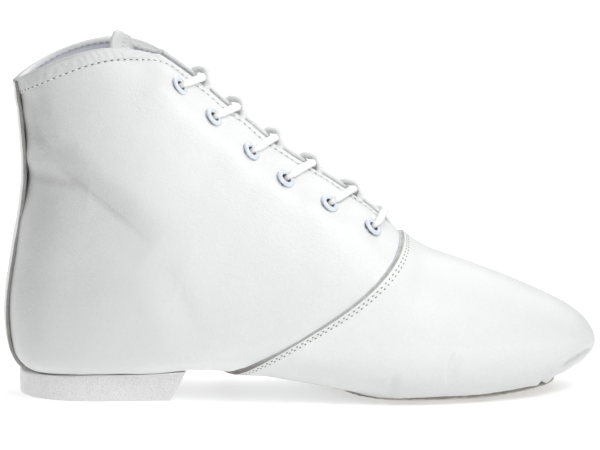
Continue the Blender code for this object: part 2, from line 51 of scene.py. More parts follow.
import bmesh
import bpy
import numpy as np
from bpy.props import FloatProperty, FloatVectorProperty, IntProperty, PointerProperty
from mathutils import Matrix, Vector

bl_info = {
    "name": "Jazz Boot Looks",
    "version": (1, 0, 0),
    "blender": (4, 5, 0),
    "location": "View3D > Sidebar > Jazz Boot",
    "description": "Dresses the solids of a lace-up jazz boot with panels, seams, lacing and soles",
    "category": "Object",
}

BODY = "root"
OUTER, INNER = -1, 1
BOTH = (OUTER, INNER)
SIDES = {OUTER: "outer", INNER: "inner"}
MM = 0.001

# Steps and counts for working out slopes and lengths on the last, in rows and turns
SLOPE_STEP = 0.002
POLE_MARGIN = 0.03
ROW_STEP = 0.05
TURN_SAMPLES = 64
EVEN_SAMPLES = 200
# Points closer than this are merged where a sheet closes on itself
MERGE_DISTANCE = 1e-6

# The boot's own build, as its solids have it
WALL = 0.0016
SEAT_GAP = 0.0003
VAMP_STEP = 0.0010
VAMP_LEVEL = 0.001
VAMP_FADE = 0.016
THROAT_GAP_LOW = 0.0012
THROAT_GAP_TOP = 0.0045
THROAT_OPENING_ROWS = 0.4
CORNER_REACH = 0.024
CORNER_DROP = 0.011
FOREFOOT_HOLE = 0.022
HEEL_HOLE = 0.015
SOLE_THICKNESS = 0.0020
INSOLE_THICKNESS = 0.0020
INSOLE_CLEARANCE = 0.0010
HEEL_BACK_X = -0.1195
HEEL_TOP_FRONT_X = -0.0475
HEEL_FLOOR_FRONT_X = -0.0545
HEEL_HALF_WIDTH = 0.0275
HEEL_FRONT_TAPER = 0.0020
HEEL_ROUNDNESS = 0.86
HEEL_BACK_TOP = 0.0098
HEEL_FRONT_TOP = 0.0132
TONGUE_THICKNESS = 0.0016
TONGUE_HALF_LOW = 0.012
TONGUE_HALF_TOP = 0.021
TONGUE_DEPTH_LOW = 0.0009
TONGUE_DEPTH_TOP = 0.0022
BINDING_THICKNESS = 0.0009
BINDING_SETBACK = 0.0020
STAY_THICKNESS = 0.0013
EYELET_BARREL_RADIUS = 0.0023
EYELET_BORE_RADIUS = 0.0019
EYELET_FLANGE_RADIUS = 0.0043
EYELET_FLANGE_HEIGHT = 0.0006
LACE_RADIUS = 0.0016

# What the finish adds to that build: throat edges set back and curled, a vamp that swells over the edge of
# the sole patch, a folded hem round the collar, and a back strip wide enough to show its face
NEAR_SET_BACK = 0.0022
FAR_CURL = 0.0010
LAP_AHEAD = 0.0018
LAP_FADE = 0.0050
LAP_HEIGHT = 0.0014
HEM_BACK = 0.0052
HEM_FRONT = 0.0036
HEM_NARROWS_FROM = 0.35
STAY_HALF_LOW = 0.0132
STAY_HALF_TOP = 0.0116
# The middle line of the tongue's free end in the side view, in millimetres, a point for each row
TONGUE_FREE_ROW = 14.0
TONGUE_FREE_PATH = (
    (-33.3, 119.8), (-45.0, 127.5), (-56.4, 133.8), (-66.6, 139.6), (-72.6, 145.4), (-71.2, 150.8),
)
TONGUE_LAST_ROW = TONGUE_FREE_ROW + len(TONGUE_FREE_PATH) - 1.0
# How the tongue's tip is curled, twisted and rounded
TONGUE_TIP_HALF = 0.0150
TONGUE_TIP_CURVE = 0.0058
TONGUE_TIP_ASKEW = 0.0012
TONGUE_TIP_FALL = 0.0060
TONGUE_TIP_FORWARD = 0.0045
TONGUE_CORNER_FROM = 0.86
TONGUE_CORNER_TRIM = 0.0012
# Where each eyelet sits, and the degrees that the lace leans it to the throat and turns it to the toe
Eyelet = namedtuple("Eyelet", "row inset lean turn")
EYELETS = (
    Eyelet(15.60, 0.0136, 25.0, 10.0),
    Eyelet(14.05, 0.0146, 26.0, 6.0),
    Eyelet(12.65, 0.0160, 28.0, 12.0),
    Eyelet(11.75, 0.0178, 21.0, 12.0),
    Eyelet(10.85, 0.0184, 18.0, 14.0),
    Eyelet(9.90, 0.0176, 8.0, 12.0),
)
EYELET_LIFT = 0.0002
# How far round an eyelet the leather leans with it, and by what share
EYELET_REACH = 0.0105
LEATHER_GIVE = 0.78
# Waves left by lasting, as height and length
VAMP_WAVES = ((0.00022, 0.030), (0.0001, 0.011))
QUARTER_WAVES = ((0.0003, 0.034), (0.00012, 0.012))
TONGUE_WAVES = ((0.00015, 0.009),)
STAY_WAVES = ((0.00012, 0.013),)
# A quarter's waves start and are full this far from its free edge
CALM_EDGE = (0.003, 0.022)
# Painted shade on the leather: how high its darkening near the floor reaches, which raw edges share, and
# where it is painted darker behind the middle of the boot
LOW_DARKENING_HEIGHT = 0.024
SHADE_BEHIND_FROM = 0.044
SHADE_BEHIND_REACH = 0.050
SHADE_BEHIND_HEIGHT = 0.060

# The last, as sections from the toe tip to above the collar, in millimetres. A section runs from its
# top point to its low point in the side view, pulled off the straight line by its bow. Swing is the
# middle line's shift to the inner side, outer and inner are half widths, widest is how far down the
# greatest width lies, and crown and base are the powers that square its upper and its lower half.
Section = namedtuple(
    "Section",
    "name top_x top_z low_x low_z bow_x bow_z swing outer inner widest crown base",
)
SECTIONS = (
    Section("toe tip", 124.0, 20.2, 124.0, 20.2, 0.0, 0.0, 6.0, 0.0, 0.0, 0.50, 2.0, 2.0),
    Section("toe nose", 122.5, 25.0, 122.3, 15.9, 0.0, 0.0, 5.9, 7.8, 7.4, 0.52, 2.0, 2.2),
    Section("toe round", 118.4, 30.1, 117.6, 12.2, 0.0, 0.0, 5.5, 15.0, 14.4, 0.55, 2.0, 2.5),
    Section("toe box", 111.2, 35.0, 110.2, 9.0, 0.0, 0.0, 4.8, 21.6, 21.2, 0.58, 2.0, 2.9),
    Section("toes", 100.0, 40.7, 98.6, 6.0, 0.0, 0.0, 3.8, 28.0, 27.8, 0.61, 2.0, 3.4),
    Section("toe roots", 86.0, 46.9, 83.6, 4.1, 0.0, 0.0, 2.6, 33.4, 33.6, 0.63, 2.0, 3.9),
    Section("inner ball", 71.0, 52.7, 66.0, 3.6, 1.0, -1.0, 1.4, 37.6, 38.0, 0.64, 2.0, 4.2),
    Section("ball", 58.5, 57.2, 45.0, 3.6, 5.0, -1.0, 0.2, 40.2, 39.6, 0.65, 2.0, 4.2),
    Section("outer ball", 49.5, 61.0, 16.0, 5.6, 16.0, 1.0, -0.8, 40.0, 37.6, 0.65, 2.0, 3.8),
    Section("vamp seam", 42.0, 65.2, -30.0, 12.4, 32.0, 6.5, -1.2, 37.8, 35.0, 0.65, 2.3, 3.4),
    Section("lower eyelet", 30.0, 76.0, -62.0, 11.8, 24.0, 1.0, -1.0, 35.0, 33.0, 0.69, 2.6, 3.6),
    Section("instep", 13.0, 88.4, -90.0, 10.8, 14.0, -3.0, -0.6, 32.6, 31.4, 0.72, 2.7, 4.0),
    Section("heel seat", -6.0, 100.6, -110.0, 11.4, 6.0, -2.0, -0.3, 31.2, 30.4, 0.73, 2.7, 3.8),
    Section("heel corner", -21.0, 112.4, -119.8, 18.2, 2.0, -1.0, 0.0, 30.0, 29.4, 0.70, 2.7, 3.0),
    Section("heel bulge", -32.0, 121.6, -122.6, 36.0, 0.0, 0.0, 0.0, 29.2, 28.8, 0.66, 2.7, 2.4),
    Section("above heel", -41.5, 130.0, -119.4, 61.0, 0.0, 0.0, 0.0, 28.4, 28.2, 0.63, 2.6, 2.2),
    Section("ankle", -49.6, 137.0, -115.2, 86.0, 0.0, 1.0, 0.0, 27.4, 27.2, 0.62, 2.4, 2.2),
    Section("upper ankle", -57.5, 142.6, -115.2, 108.0, 0.0, 4.0, 0.0, 26.0, 25.8, 0.62, 2.2, 2.2),
    Section("collar", -66.0, 147.4, -117.2, 133.0, -2.0, 9.0, 0.0, 24.4, 24.4, 0.63, 2.1, 2.2),
    Section("tongue end", -76.0, 155.5, -118.5, 146.0, -3.0, 10.0, 0.0, 23.4, 23.4, 0.64, 2.0, 2.2),
)
LENGTH_COLUMNS = 9
HALF_COLUMN = {OUTER: 7, INNER: 8}
ROW = {section.name: float(index) for index, section in enumerate(SECTIONS)}
SEAM_ROW = ROW["vamp seam"]
COLLAR_ROW = ROW["collar"]
TONGUE_ROWS = (7.7, 18.95)
THROAT_ROW = SEAM_ROW + 0.25
THROAT_END_ROW = THROAT_ROW + 0.3
SET_BACK_ROWS = (COLLAR_ROW - 2.4, COLLAR_ROW - 0.4)
CORNER_ROW = 15.0
FOREFOOT_HOLE_ROWS = (4.0, 7.5)
HEEL_HOLE_ROWS = (10.5, 12.5)
STAY_ROWS = (12.5, 17.62)
# Patches round the low line: end rows, share of the last's half width, and power that squares the ends
Patch = namedtuple("Patch", "rows share squareness")
FOREFOOT_PATCH = Patch((3.3, 8.0), 0.80, 5.0)
INSOLE_PATCH = Patch((2.2, 12.0), 0.70, 6.0)

# The solids are shifted to put the middle of the footprint at the origin; the heel block shows by how much
HEEL_LOW, HEEL_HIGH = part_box("heel")
SHIFT = np.array((HEEL_LOW.x - HEEL_BACK_X, 0.5 * (HEEL_LOW.y + HEEL_HIGH.y), 0.0))

# Creases and dents worn or lasted into the leather, in the side view in millimetres: where each starts
# and ends, how far it bows to its left, its half widths to the left and to the right, and its depth.
# A depth below zero is a ridge.
Crease = namedtuple("Crease", "name sides from_x from_z to_x to_z bow left right depth")
CREASES = (
    Crease("toe pleat", (OUTER,), 99.0, 6.0, 105.0, 12.6, 0.6, 1.2, 1.2, 2.0),
    Crease("toe pleat lip", (OUTER,), 96.5, 8.0, 103.0, 14.6, 0.0, 1.7, 1.7, -0.9),
    Crease("toe pleat hollow", (OUTER,), 102.0, 12.6, 109.0, 15.8, 0.0, 3.0, 2.2, 1.2),
    Crease("first toe crease", (OUTER,), 108.6, 12.2, 118.0, 17.0, 0.4, 1.5, 1.0, 2.0),
    Crease("second toe crease", (OUTER,), 115.4, 16.0, 122.4, 18.9, 0.2, 1.2, 0.9, 1.6),
    Crease("inner toe pleat", (INNER,), 98.0, 6.4, 104.5, 13.0, 0.8, 1.1, 1.1, 1.5),
    Crease("inner toe crease", (INNER,), 108.0, 12.2, 117.5, 16.4, 0.3, 1.3, 1.0, 1.1),
    Crease("side dent", BOTH, 37.2, 5.6, 39.6, 14.8, 0.2, 2.4, 1.5, 2.2),
    Crease("ball dent", BOTH, 60.9, 9.6, 64.4, 24.0, 0.6, 1.6, 3.0, 2.2),
    Crease("tread line", BOTH, 47.5, 30.2, 58.0, 25.4, 0.9, 0.8, 0.8, 0.42),
    Crease("second tread line", BOTH, 49.5, 28.4, 59.5, 24.4, 0.7, 0.7, 0.7, 0.34),
    Crease("third tread line", BOTH, 44.0, 32.9, 53.0, 30.3, 0.4, 0.7, 0.7, 0.28),
    Crease("ankle crease", BOTH, -109.0, 107.0, -60.0, 66.5, -0.8, 9.0, 15.0, 4.6),
    Crease("ankle fold", BOTH, -120.0, 94.2, -88.0, 90.4, 0.4, 5.0, 14.0, 2.8),
    Crease("back fold", BOTH, -120.0, 115.5, -89.0, 98.0, 0.4, 7.0, 9.0, 2.2),
    Crease("upper back dent", BOTH, -112.8, 130.0, -107.6, 107.0, 0.0, 6.5, 4.0, 2.2),
    Crease("heel ridge", BOTH, -72.0, 55.0, -50.0, 20.5, 0.5, 6.0, 6.0, -1.0),
    Crease("heel trough", BOTH, -59.0, 63.0, -42.5, 29.0, 0.5, 5.0, 6.5, 1.1),
    Crease("heel back line", BOTH, -113.6, 50.0, -113.4, 16.0, 0.0, 5.0, 3.0, 0.6),
    Crease("ankle ridge", BOTH, -103.0, 81.0, -96.5, 88.0, 0.0, 2.6, 2.6, -0.3),
    Crease("ankle wrinkle", BOTH, -95.0, 80.8, -81.0, 77.4, 0.3, 0.9, 0.9, 0.30),
    Crease("second ankle wrinkle", BOTH, -92.0, 78.7, -78.0, 75.3, 0.3, 0.9, 0.9, 0.26),
    Crease("third ankle wrinkle", BOTH, -102.0, 88.6, -97.0, 82.4, 0.2, 0.9, 0.9, 0.30),
    Crease("arch wrinkle", BOTH, -32.0, 58.5, -22.5, 55.3, 0.2, 0.8, 0.8, 0.26),
    Crease("second arch wrinkle", BOTH, -33.0, 54.9, -22.0, 51.3, 0.3, 0.8, 0.8, 0.26),
)
# The leather's lip beside a crease, as a share of its depth and of its width, and how its ends run out
CREASE_LIP = 0.35
CREASE_LIP_REACH = 2.0
CREASE_FADE = 2.5

# Painted shade inside the larger folds: the crease, the reach to its left and right in millimetres, and the
# share.
# It fades in and out over one part in FOLD_ENDS of the crease's run.
FOLD_ENDS = 3.0
FOLD_SHADES = (
    ("ankle crease", 13.0, 2.6, 0.36),
    ("ankle crease", 1.6, 44.0, 0.18),
    ("ankle fold", 6.5, 2.5, 0.38),
    ("back fold", 9.0, 4.0, 0.18),
    ("upper back dent", 9.0, 5.0, 0.42),
    ("first toe crease", 2.2, 1.2, 0.30),
    ("second toe crease", 1.8, 1.0, 0.26),
)

# Finely wrinkled patches in millimetres: middle along and up, half length and half height, and the amount
WRINKLES = (
    (-107.5, 103.5, 8.0, 8.0, 2.2),
    (-100.0, 82.0, 9.0, 8.0, 2.6),
    (-84.0, 77.0, 9.0, 5.0, 1.4),
    (-27.0, 55.0, 8.0, 5.0, 1.4),
    (52.0, 28.0, 9.0, 5.0, 1.8),
)


class BootSizes(bpy.types.PropertyGroup):
    """Sizes of the boot's finish that a maker would choose."""

    thread_radius: FloatProperty(
        name="Thread radius", description="Half the thickness of the sewing thread",
        default=0.00024, min=0.0, unit="LENGTH",
    )
    collar_pitch: FloatProperty(
        name="Collar stitch", description="Length of one stitch round the collar and the throat",
        default=0.0028, min=0.001, unit="LENGTH",
    )
    vamp_pitch: FloatProperty(
        name="Vamp stitch", description="Length of one stitch along the vamp edge",
        default=0.0025, min=0.001, unit="LENGTH",
    )
    hem_height: FloatProperty(
        name="Hem height", description="How far the folded throat edge stands above the quarter",
        default=0.0004, min=0.0, unit="LENGTH",
    )
    throat_row: FloatProperty(
        name="Throat row", description="Distance of the throat's stitch row from the edge",
        default=0.0042, min=0.0, unit="LENGTH",
    )
    raw_edge: FloatProperty(
        name="Raw edge", description="Width of the slanting cut edge of the vamp",
        default=0.0016, min=0.0, unit="LENGTH",
    )
    lace_half_width: FloatProperty(
        name="Lace half width", description="Half the width of the flattened tubular lace",
        default=0.0017, min=0.0, unit="LENGTH",
    )
    lace_half_height: FloatProperty(
        name="Lace half height", description="Half the height of the flattened tubular lace",
        default=0.0014, min=0.0, unit="LENGTH",
    )
    braid_strands: IntProperty(
        name="Braid strands", description="Yarns round the lace that lean each way", default=10, min=2,
    )


class BootColours(bpy.types.PropertyGroup):
    """Colours of the boot's materials."""

    leather: FloatVectorProperty(
        name="Leather", description="Smooth white upper leather",
        subtype="COLOR", default=(0.84, 0.852, 0.845), min=0.0, max=1.0,
    )
    raw_edge: FloatVectorProperty(
        name="Raw edge", description="Cut fibres at the leather's edges",
        subtype="COLOR", default=(0.46, 0.452, 0.435), min=0.0, max=1.0,
    )
    lining: FloatVectorProperty(
        name="Lining", description="Lilac-grey cloth inside the quarters",
        subtype="COLOR", default=(0.86, 0.875, 0.99), min=0.0, max=1.0,
    )
    suede: FloatVectorProperty(
        name="Suede", description="Napped forefoot sole",
        subtype="COLOR", default=(0.62, 0.59, 0.55), min=0.0, max=1.0,
    )
    rubber: FloatVectorProperty(
        name="Rubber", description="Speckled heel block",
        subtype="COLOR", default=(0.97, 0.97, 0.965), min=0.0, max=1.0,
    )
    enamel: FloatVectorProperty(
        name="Enamel", description="Pale blue-white eyelets",
        subtype="COLOR", default=(0.72, 0.765, 0.83), min=0.0, max=1.0,
    )
    cotton: FloatVectorProperty(
        name="Cotton", description="Braided lace and sewing thread",
        subtype="COLOR", default=(0.93, 0.935, 0.93), min=0.0, max=1.0,
    )
    insole: FloatVectorProperty(
        name="Insole", description="Woven cover of the insole",
        subtype="COLOR", default=(0.74, 0.70, 0.63), min=0.0, max=1.0,
    )


def spline_bends(values):
    """Second derivatives of the natural cubic spline through rows at whole-number knots."""
    count = len(values)
    system = np.eye(count)
    bends = np.zeros_like(values)
    for i in range(1, count - 1):
        system[i, i - 1 : i + 2] = (1.0, 4.0, 1.0)
        bends[i] = 6.0 * (values[i - 1] - 2.0 * values[i] + values[i + 1])
    return np.linalg.solve(system, bends)


def spline_at(values, bends, i, b):
    """Places on the spline, a share b of the way from knot i to the next."""
    a = 1.0 - b
    bend = (a**3 - a) * bends[i] + (b**3 - b) * bends[i + 1]
    return a * values[i] + b * values[i + 1] + bend / 6.0


def smooth_curve(corners, per_span):
    """Points of a smooth curve through corners, each a row of numbers."""
    values = np.array(corners, float)
    bends = spline_bends(values)
    shares = np.linspace(0.0, 1.0, per_span, endpoint=False)[:, None]
    points = [spline_at(values, bends, i, shares) for i in range(len(values) - 1)]
    return np.concatenate([*points, values[-1:]])


def section_table():
    """The sections in metres, with the second one turned over ahead of the tip so the toe is round."""
    table = np.array([section[1:] for section in SECTIONS])
    table[:, :LENGTH_COLUMNS] *= MM
    turned = table[1].copy()
    turned[[0, 1, 2, 3]] = table[1][[2, 3, 0, 1]]
    turned[[7, 8]] *= -1.0
    return np.vstack([turned, table])


TABLE = section_table()
BENDS = spline_bends(TABLE)


def columns_at(row):
    """The last's columns at any row numbers, whole or between two sections."""
    spot = np.clip(np.asarray(row, float) + 1.0, 0.0, len(TABLE) - 1.0)
    i = np.minimum(spot.astype(int), len(TABLE) - 2)
    return spline_at(TABLE, BENDS, i, (spot - i)[..., None])


def last_point(row, turn, side):
    """Points of the last: turn is 0 on the top line, 0.5 at the widest place and 1 on the low line."""
    row, turn, side = np.broadcast_arrays(np.asarray(row, float), turn, side)
    columns = np.moveaxis(columns_at(row), -1, 0)
    top_x, top_z, low_x, low_z, bow_x, bow_z, swing, outer, inner, widest, crown, base = columns
    upper_half = turn < 0.5
    power = 2.0 / np.where(upper_half, crown, base)
    sine = np.sin(turn * math.pi)
    across = np.sign(sine) * np.abs(sine) ** power
    reach = np.abs(np.cos(turn * math.pi)) ** power
    down = np.where(upper_half, widest * (1.0 - reach), widest + (1.0 - widest) * reach)
    up = 1.0 - down
    pull = 2.0 * up * down
    x = up * top_x + down * low_x + pull * bow_x
    y = swing + side * np.where(side < 0, outer, inner) * across
    z = up * top_z + down * low_z + pull * bow_z
    return np.stack([x, y, z], axis=-1) + SHIFT


def unit(vectors):
    """Vectors of length one that point the same ways."""
    return vectors / np.linalg.norm(vectors, axis=-1, keepdims=True)


def outward(row, turn, side):
    """The last's unit normals."""
    row = np.maximum(row, POLE_MARGIN)
    turn = np.clip(turn, POLE_MARGIN, 1.0 - POLE_MARGIN)
    along = last_point(row + SLOPE_STEP, turn, side) - last_point(row - SLOPE_STEP, turn, side)
    round_it = last_point(row, turn + SLOPE_STEP, side) - last_point(row, turn - SLOPE_STEP, side)
    return unit(np.cross(round_it, along) * np.asarray(side)[..., None])


def skin_normal(row, turn, side):
    """The last's normals, evened out across its top and low lines."""
    row, turn, side = np.broadcast_arrays(np.asarray(row, float), turn, side)
    own = outward(row, turn, side)
    middle = unit(own + outward(row, turn, -side))
    share = np.clip(np.minimum(turn, 1.0 - turn) / POLE_MARGIN, 0.0, 1.0)[..., None]
    return unit(middle * (1.0 - share) + own * share)


def lifted(points, normals, height):
    """Points moved along their normals."""
    return points + normals * np.asarray(height)[..., None]


def skin(row, turn, side, offset):
    """Points that lie off the last by offset, along its normal."""
    return lifted(last_point(row, turn, side), skin_normal(row, turn, side), offset)


def laid(rows, turns, sides):
    """The row of each place on lines of turns, with the last's points and normals there."""
    row_grid = np.broadcast_to(rows[:, None], turns.shape)
    return row_grid, last_point(row_grid, turns, sides), skin_normal(row_grid, turns, sides)


def lengths_along(points):
    """The distance from the first point, or line of points, to each one, along them."""
    steps = np.linalg.norm(np.diff(points, axis=0), axis=-1)
    return np.concatenate([np.zeros_like(steps[:1]), np.cumsum(steps, axis=0)])


def turn_from(start, row, side, distance):
    """The turn that lies this far round the section from its top line, 0, or its low line, 1."""
    turns = np.linspace(start, 0.5, TURN_SAMPLES)
    return np.interp(distance, lengths_along(last_point(row, turns, side)), turns)


def even_turns(row, side, first, last, count):
    """Turns from first to last, evenly spaced along the section."""
    turns = np.linspace(first, last, EVEN_SAMPLES)
    lengths = lengths_along(last_point(row, turns, side))
    return np.interp(np.linspace(0.0, lengths[-1], count), lengths, turns)


def even_rows(first, last, count, turn=0.45):
    """Rows from first to last, evenly spaced along the outer side of the last."""
    rows = np.linspace(first, last, EVEN_SAMPLES)
    lengths = lengths_along(last_point(rows, turn, OUTER))
    return np.interp(np.linspace(0.0, lengths[-1], count), lengths, rows)


def row_speed(row, turn, side):
    """Metres along the last for one row."""
    moved = last_point(row, turn, side) - last_point(row - ROW_STEP, turn, side)
    return np.linalg.norm(moved, axis=-1) / ROW_STEP


def share_between(value, low, high):
    """How far values have come from low to high, from 0 to 1."""
    return np.clip((value - low) / (high - low), 0.0, 1.0)


def smooth(share):
    """A share that starts and ends gently."""
    return share * share * (3.0 - 2.0 * share)


def throat_half(row):
    """Half the gap between the two throat edges."""
    opening = np.clip((row - THROAT_ROW) / THROAT_OPENING_ROWS, 0.0, 1.0)
    spread = share_between(row, THROAT_ROW, COLLAR_ROW)
    return opening * (THROAT_GAP_LOW + (THROAT_GAP_TOP - THROAT_GAP_LOW) * spread)


def throat_edge(row, side):
    """Distance from the middle line to a quarter's throat edge, set back further on the outer side."""
    set_back = NEAR_SET_BACK * smooth(share_between(row, *SET_BACK_ROWS))
    return throat_half(row) + (set_back if side == OUTER else 0.0)


def hole_half(row):
    """Half the width of the openings under the upper, which the soles close."""
    for (first, last), half in ((FOREFOOT_HOLE_ROWS, FOREFOOT_HOLE), (HEEL_HOLE_ROWS, HEEL_HOLE)):
        if first < row < last:
            middle = 2.0 * share_between(row, first, last) - 1.0
            return half * (1.0 - middle * middle)
    return 0.0


def low_turn(row, side):
    """The turn at the edge of those openings, or on the low line where there is none."""
    return turn_from(1.0, row, side, hole_half(row))


def rounded_rows(row, turns, side):
    """The rows of one line across the quarter after the collar's front corner is rounded off."""
    if row <= CORNER_ROW:
        return np.full_like(turns, row)
    edge = last_point(row, turn_from(0.0, row, side, throat_edge(row, side)), side)
    distance = np.linalg.norm(last_point(row, turns, side) - edge, axis=-1)
    near = 1.0 - share_between(distance, 0.0, CORNER_REACH)
    top = COLLAR_ROW - CORNER_DROP * near * near / row_speed(COLLAR_ROW, turns, side)
    return CORNER_ROW + (row - CORNER_ROW) * (top - CORNER_ROW) / (COLLAR_ROW - CORNER_ROW)


def vamp_lap(row, turn, side):
    """How much of the lap's step the vamp has: all of it at its edge, none further ahead."""
    ahead = np.linalg.norm(last_point(row, turn, side) - last_point(SEAM_ROW, turn, side), axis=-1)
    return 1.0 - smooth(share_between(ahead, VAMP_LEVEL, VAMP_FADE))


def unevenness(points, size):
    """A gentle waviness of hand-lasted leather, from -1 to 1, with waves about as long as size."""
    waves = ((1.0, 0.3, 0.5), (-0.4, 0.9, 0.7), (0.6, -0.8, 1.1), (0.2, 0.5, -1.3), (-1.2, 0.2, 0.4))
    total = np.zeros(points.shape[:-1])
    for number, wave in enumerate(waves):
        total += np.sin(points @ np.array(wave) * (math.tau / size) + 1.7 * number)
    return total / len(waves)


def wavy(points, waves):
    """The sum of several wavinesses, each with a height and a length."""
    return sum(height * unevenness(points, length) for height, length in waves)


def crease_relief(points, side):
    """How far the creases on one side move the leather along its normal, troughs being negative."""
    spots = (points - SHIFT)[..., [0, 2]] / MM
    relief = np.zeros(points.shape[:-1])
    for crease in CREASES:
        if side not in crease.sides:
            continue
        start = np.array((crease.from_x, crease.from_z))
        run = np.array((crease.to_x, crease.to_z)) - start
        length = np.linalg.norm(run)
        aside = np.array((-run[1], run[0])) / length
        share = np.clip((spots - start) @ run / length**2, 0.0, 1.0)
        bow = crease.bow * 4.0 * share * (1.0 - share)
        away = spots - start - share[..., None] * run - bow[..., None] * aside
        reach = np.where(away @ aside > 0.0, crease.left, crease.right)
        distance = np.linalg.norm(away, axis=-1) / reach
        fade = 1.0 - np.abs(2.0 * share - 1.0) ** CREASE_FADE
        lip = CREASE_LIP * np.exp(-((distance / CREASE_LIP_REACH) ** 2))
        trough = np.exp(-(distance**2)) - lip
        relief -= crease.depth * MM * fade * trough
    return relief


def settled(points, rows, turns, side, step=1e-3, rounds=5):
    """Rows and turns of the places on the last nearest to points, worked from a first guess."""
    for _ in range(rounds):
        here = last_point(rows, turns, side)
        by_row = (last_point(rows + step, turns, side) - here) / step
        by_turn = (last_point(rows, turns + step, side) - here) / step
        away = points - here
        a = np.sum(by_row * by_row, axis=-1)
        b = np.sum(by_row * by_turn, axis=-1)
        c = np.sum(by_turn * by_turn, axis=-1)
        p = np.sum(away * by_row, axis=-1)
        q = np.sum(away * by_turn, axis=-1)
        rows = rows + (p * c - q * b) / (a * c - b * b)
        turns = np.clip(turns + (q * a - p * b) / (a * c - b * b), 0.0, 1.0)
    return rows, turns


def quarter_edge(side, count=400):
    """Rows and turns along a quarter's free edge: from the back along the collar and down the throat."""
    front = turn_from(0.0, COLLAR_ROW, side, throat_edge(COLLAR_ROW, side))
    collar_turns = even_turns(COLLAR_ROW, side, 1.0, front, count)
    collar_rows = rounded_rows(COLLAR_ROW, collar_turns, side)
    rows, turns = list(collar_rows), list(collar_turns)
    for row in even_rows(COLLAR_ROW, THROAT_END_ROW, count, turn=0.05)[1:]:
        turn = turn_from(0.0, row, side, throat_edge(row, side))
        rows.append(rounded_rows(row, np.array([turn]), side)[0])
        turns.append(turn)
    return np.array(rows), np.array(turns)


def eyelet_frame(eyelet, side, pulled=True):
    """An eyelet's middle on the leather, with unit vectors to the collar, to the sole and out."""
    turn = turn_from(0.0, eyelet.row, side, throat_half(eyelet.row) + eyelet.inset)
    middle = skin(eyelet.row, turn, side, WALL)
    out = skin_normal(eyelet.row, turn, side)
    along = last_point(eyelet.row + ROW_STEP, turn, side) - last_point(eyelet.row - ROW_STEP, turn, side)
    along = unit(along - out * (along @ out))
    down = np.cross(out, along) * -side
    if pulled:
        lean, turned = math.radians(eyelet.lean), math.radians(eyelet.turn)
        middle = middle + out * EYELET_LIFT
        out = unit(out - down * math.tan(lean) - along * math.tan(turned))
        along = unit(along - out * (along @ out))
        down = np.cross(out, along) * -side
    return middle, along, down, out


def eyelet_relief(points, side):
    """How the leather leans, less than its eyelets do, where the lace pulls it."""
    relief = np.zeros(points.shape[:-1])
    for eyelet in EYELETS:
        middle, along, down, _ = eyelet_frame(eyelet, side, pulled=False)
        away = points - middle
        near = np.exp(-((np.linalg.norm(away, axis=-1) / EYELET_REACH) ** 2))
        slope = math.tan(math.radians(eyelet.lean)) * (away @ down)
        slope = slope + math.tan(math.radians(eyelet.turn)) * (away @ along)
        relief += LEATHER_GIVE * slope * near
    return relief


def side_creases(points, sides):
    """The crease relief of points that lie on both sides."""
    relief = np.zeros(points.shape[:-1])
    for side in SIDES:
        relief = np.where(sides == side, crease_relief(points, side), relief)
    return relief


def vamp_height(row, turn, side):
    """How far the outside of the vamp lies off the last."""
    bare = last_point(row, turn, side)
    height = WALL + VAMP_STEP * vamp_lap(row, turn, side) + side_creases(bare, side)
    return height + LAP_HEIGHT * sole_lap(row, turn, side) + wavy(bare, VAMP_WAVES)


def patch_edge(patch, row, side):
    """The turn at the edge of a patch round the low line."""
    middle = 2.0 * share_between(row, *patch.rows) - 1.0
    half = columns_at(row)[HALF_COLUMN[side]]
    reach = patch.share * half * math.sqrt(max(1.0 - abs(middle) ** patch.squareness, 0.0))
    return turn_from(1.0, row, side, reach)


def sole_lap(row, turn, side, samples=80):
    """How much the vamp swells beside the forefoot patch, so that it hangs over the patch's edge."""
    first, last = FOREFOOT_PATCH.rows
    rows = np.linspace(first, last, samples)
    swell = np.zeros(np.shape(row))
    for way in BOTH:
        edge = np.interp(row, rows, [patch_edge(FOREFOOT_PATCH, spot, way) for spot in rows])
        away = np.linalg.norm(last_point(row, turn, side) - last_point(row, edge, side), axis=-1)
        away = np.where(turn < edge, away, -away)
        reach = np.where(away > LAP_AHEAD, LAP_FADE, 0.5 * LAP_AHEAD)
        swell = np.where(side == way, np.exp(-(((away - LAP_AHEAD) / reach) ** 2)), swell)
    starts = smooth(share_between(row, first - 0.2, first + 0.4))
    ends = smooth(share_between(row, last + 0.4, last - 0.6))
    return swell * starts * ends


def quarter_height(bare, side, from_edge):
    """How far a quarter's outside lies off the last, but for its hem, this far from its free edge."""
    calm = smooth(share_between(from_edge, *CALM_EDGE))
    return WALL + crease_relief(bare, side) + eyelet_relief(bare, side) + calm * wavy(bare, QUARTER_WAVES)


def hem_width(share):
    """Width of the folded collar edge, from the back, 0, to the front corner, 1."""
    return HEM_BACK + (HEM_FRONT - HEM_BACK) * smooth(share_between(share, HEM_NARROWS_FROM, 1.0))


class Value:
    """A shader socket whose arithmetic adds Math nodes to its own material."""

    def __init__(self, tree, socket):
        self.tree = tree
        self.socket = socket

    def maths(self, operation, *terms):
        """What one Math node gives for these terms."""
        node = self.tree.nodes.new("ShaderNodeMath")
        node.operation = operation
        for socket, term in zip(node.inputs, terms):
            plug(self.tree, socket, term)
        return Value(self.tree, node.outputs[0])

    def __add__(self, other):
        return self.maths("ADD", self, other)

    __radd__ = __add__

    def __sub__(self, other):
        return self.maths("SUBTRACT", self, other)

    def __rsub__(self, other):
        return self.maths("SUBTRACT", other, self)

    def __mul__(self, other):
        return self.maths("MULTIPLY", self, other)

    __rmul__ = __mul__

    def __truediv__(self, other):
        return self.maths("DIVIDE", self, other)

    def __rtruediv__(self, other):
        return self.maths("DIVIDE", other, self)

    def sine(self):
        """Its sine, for stripes and weaves."""
        return self.maths("SINE", self)

    def clamped(self):
        """The value held between 0 and 1."""
        return self.maths("MAXIMUM", self.maths("MINIMUM", self, 1.0), 0.0)


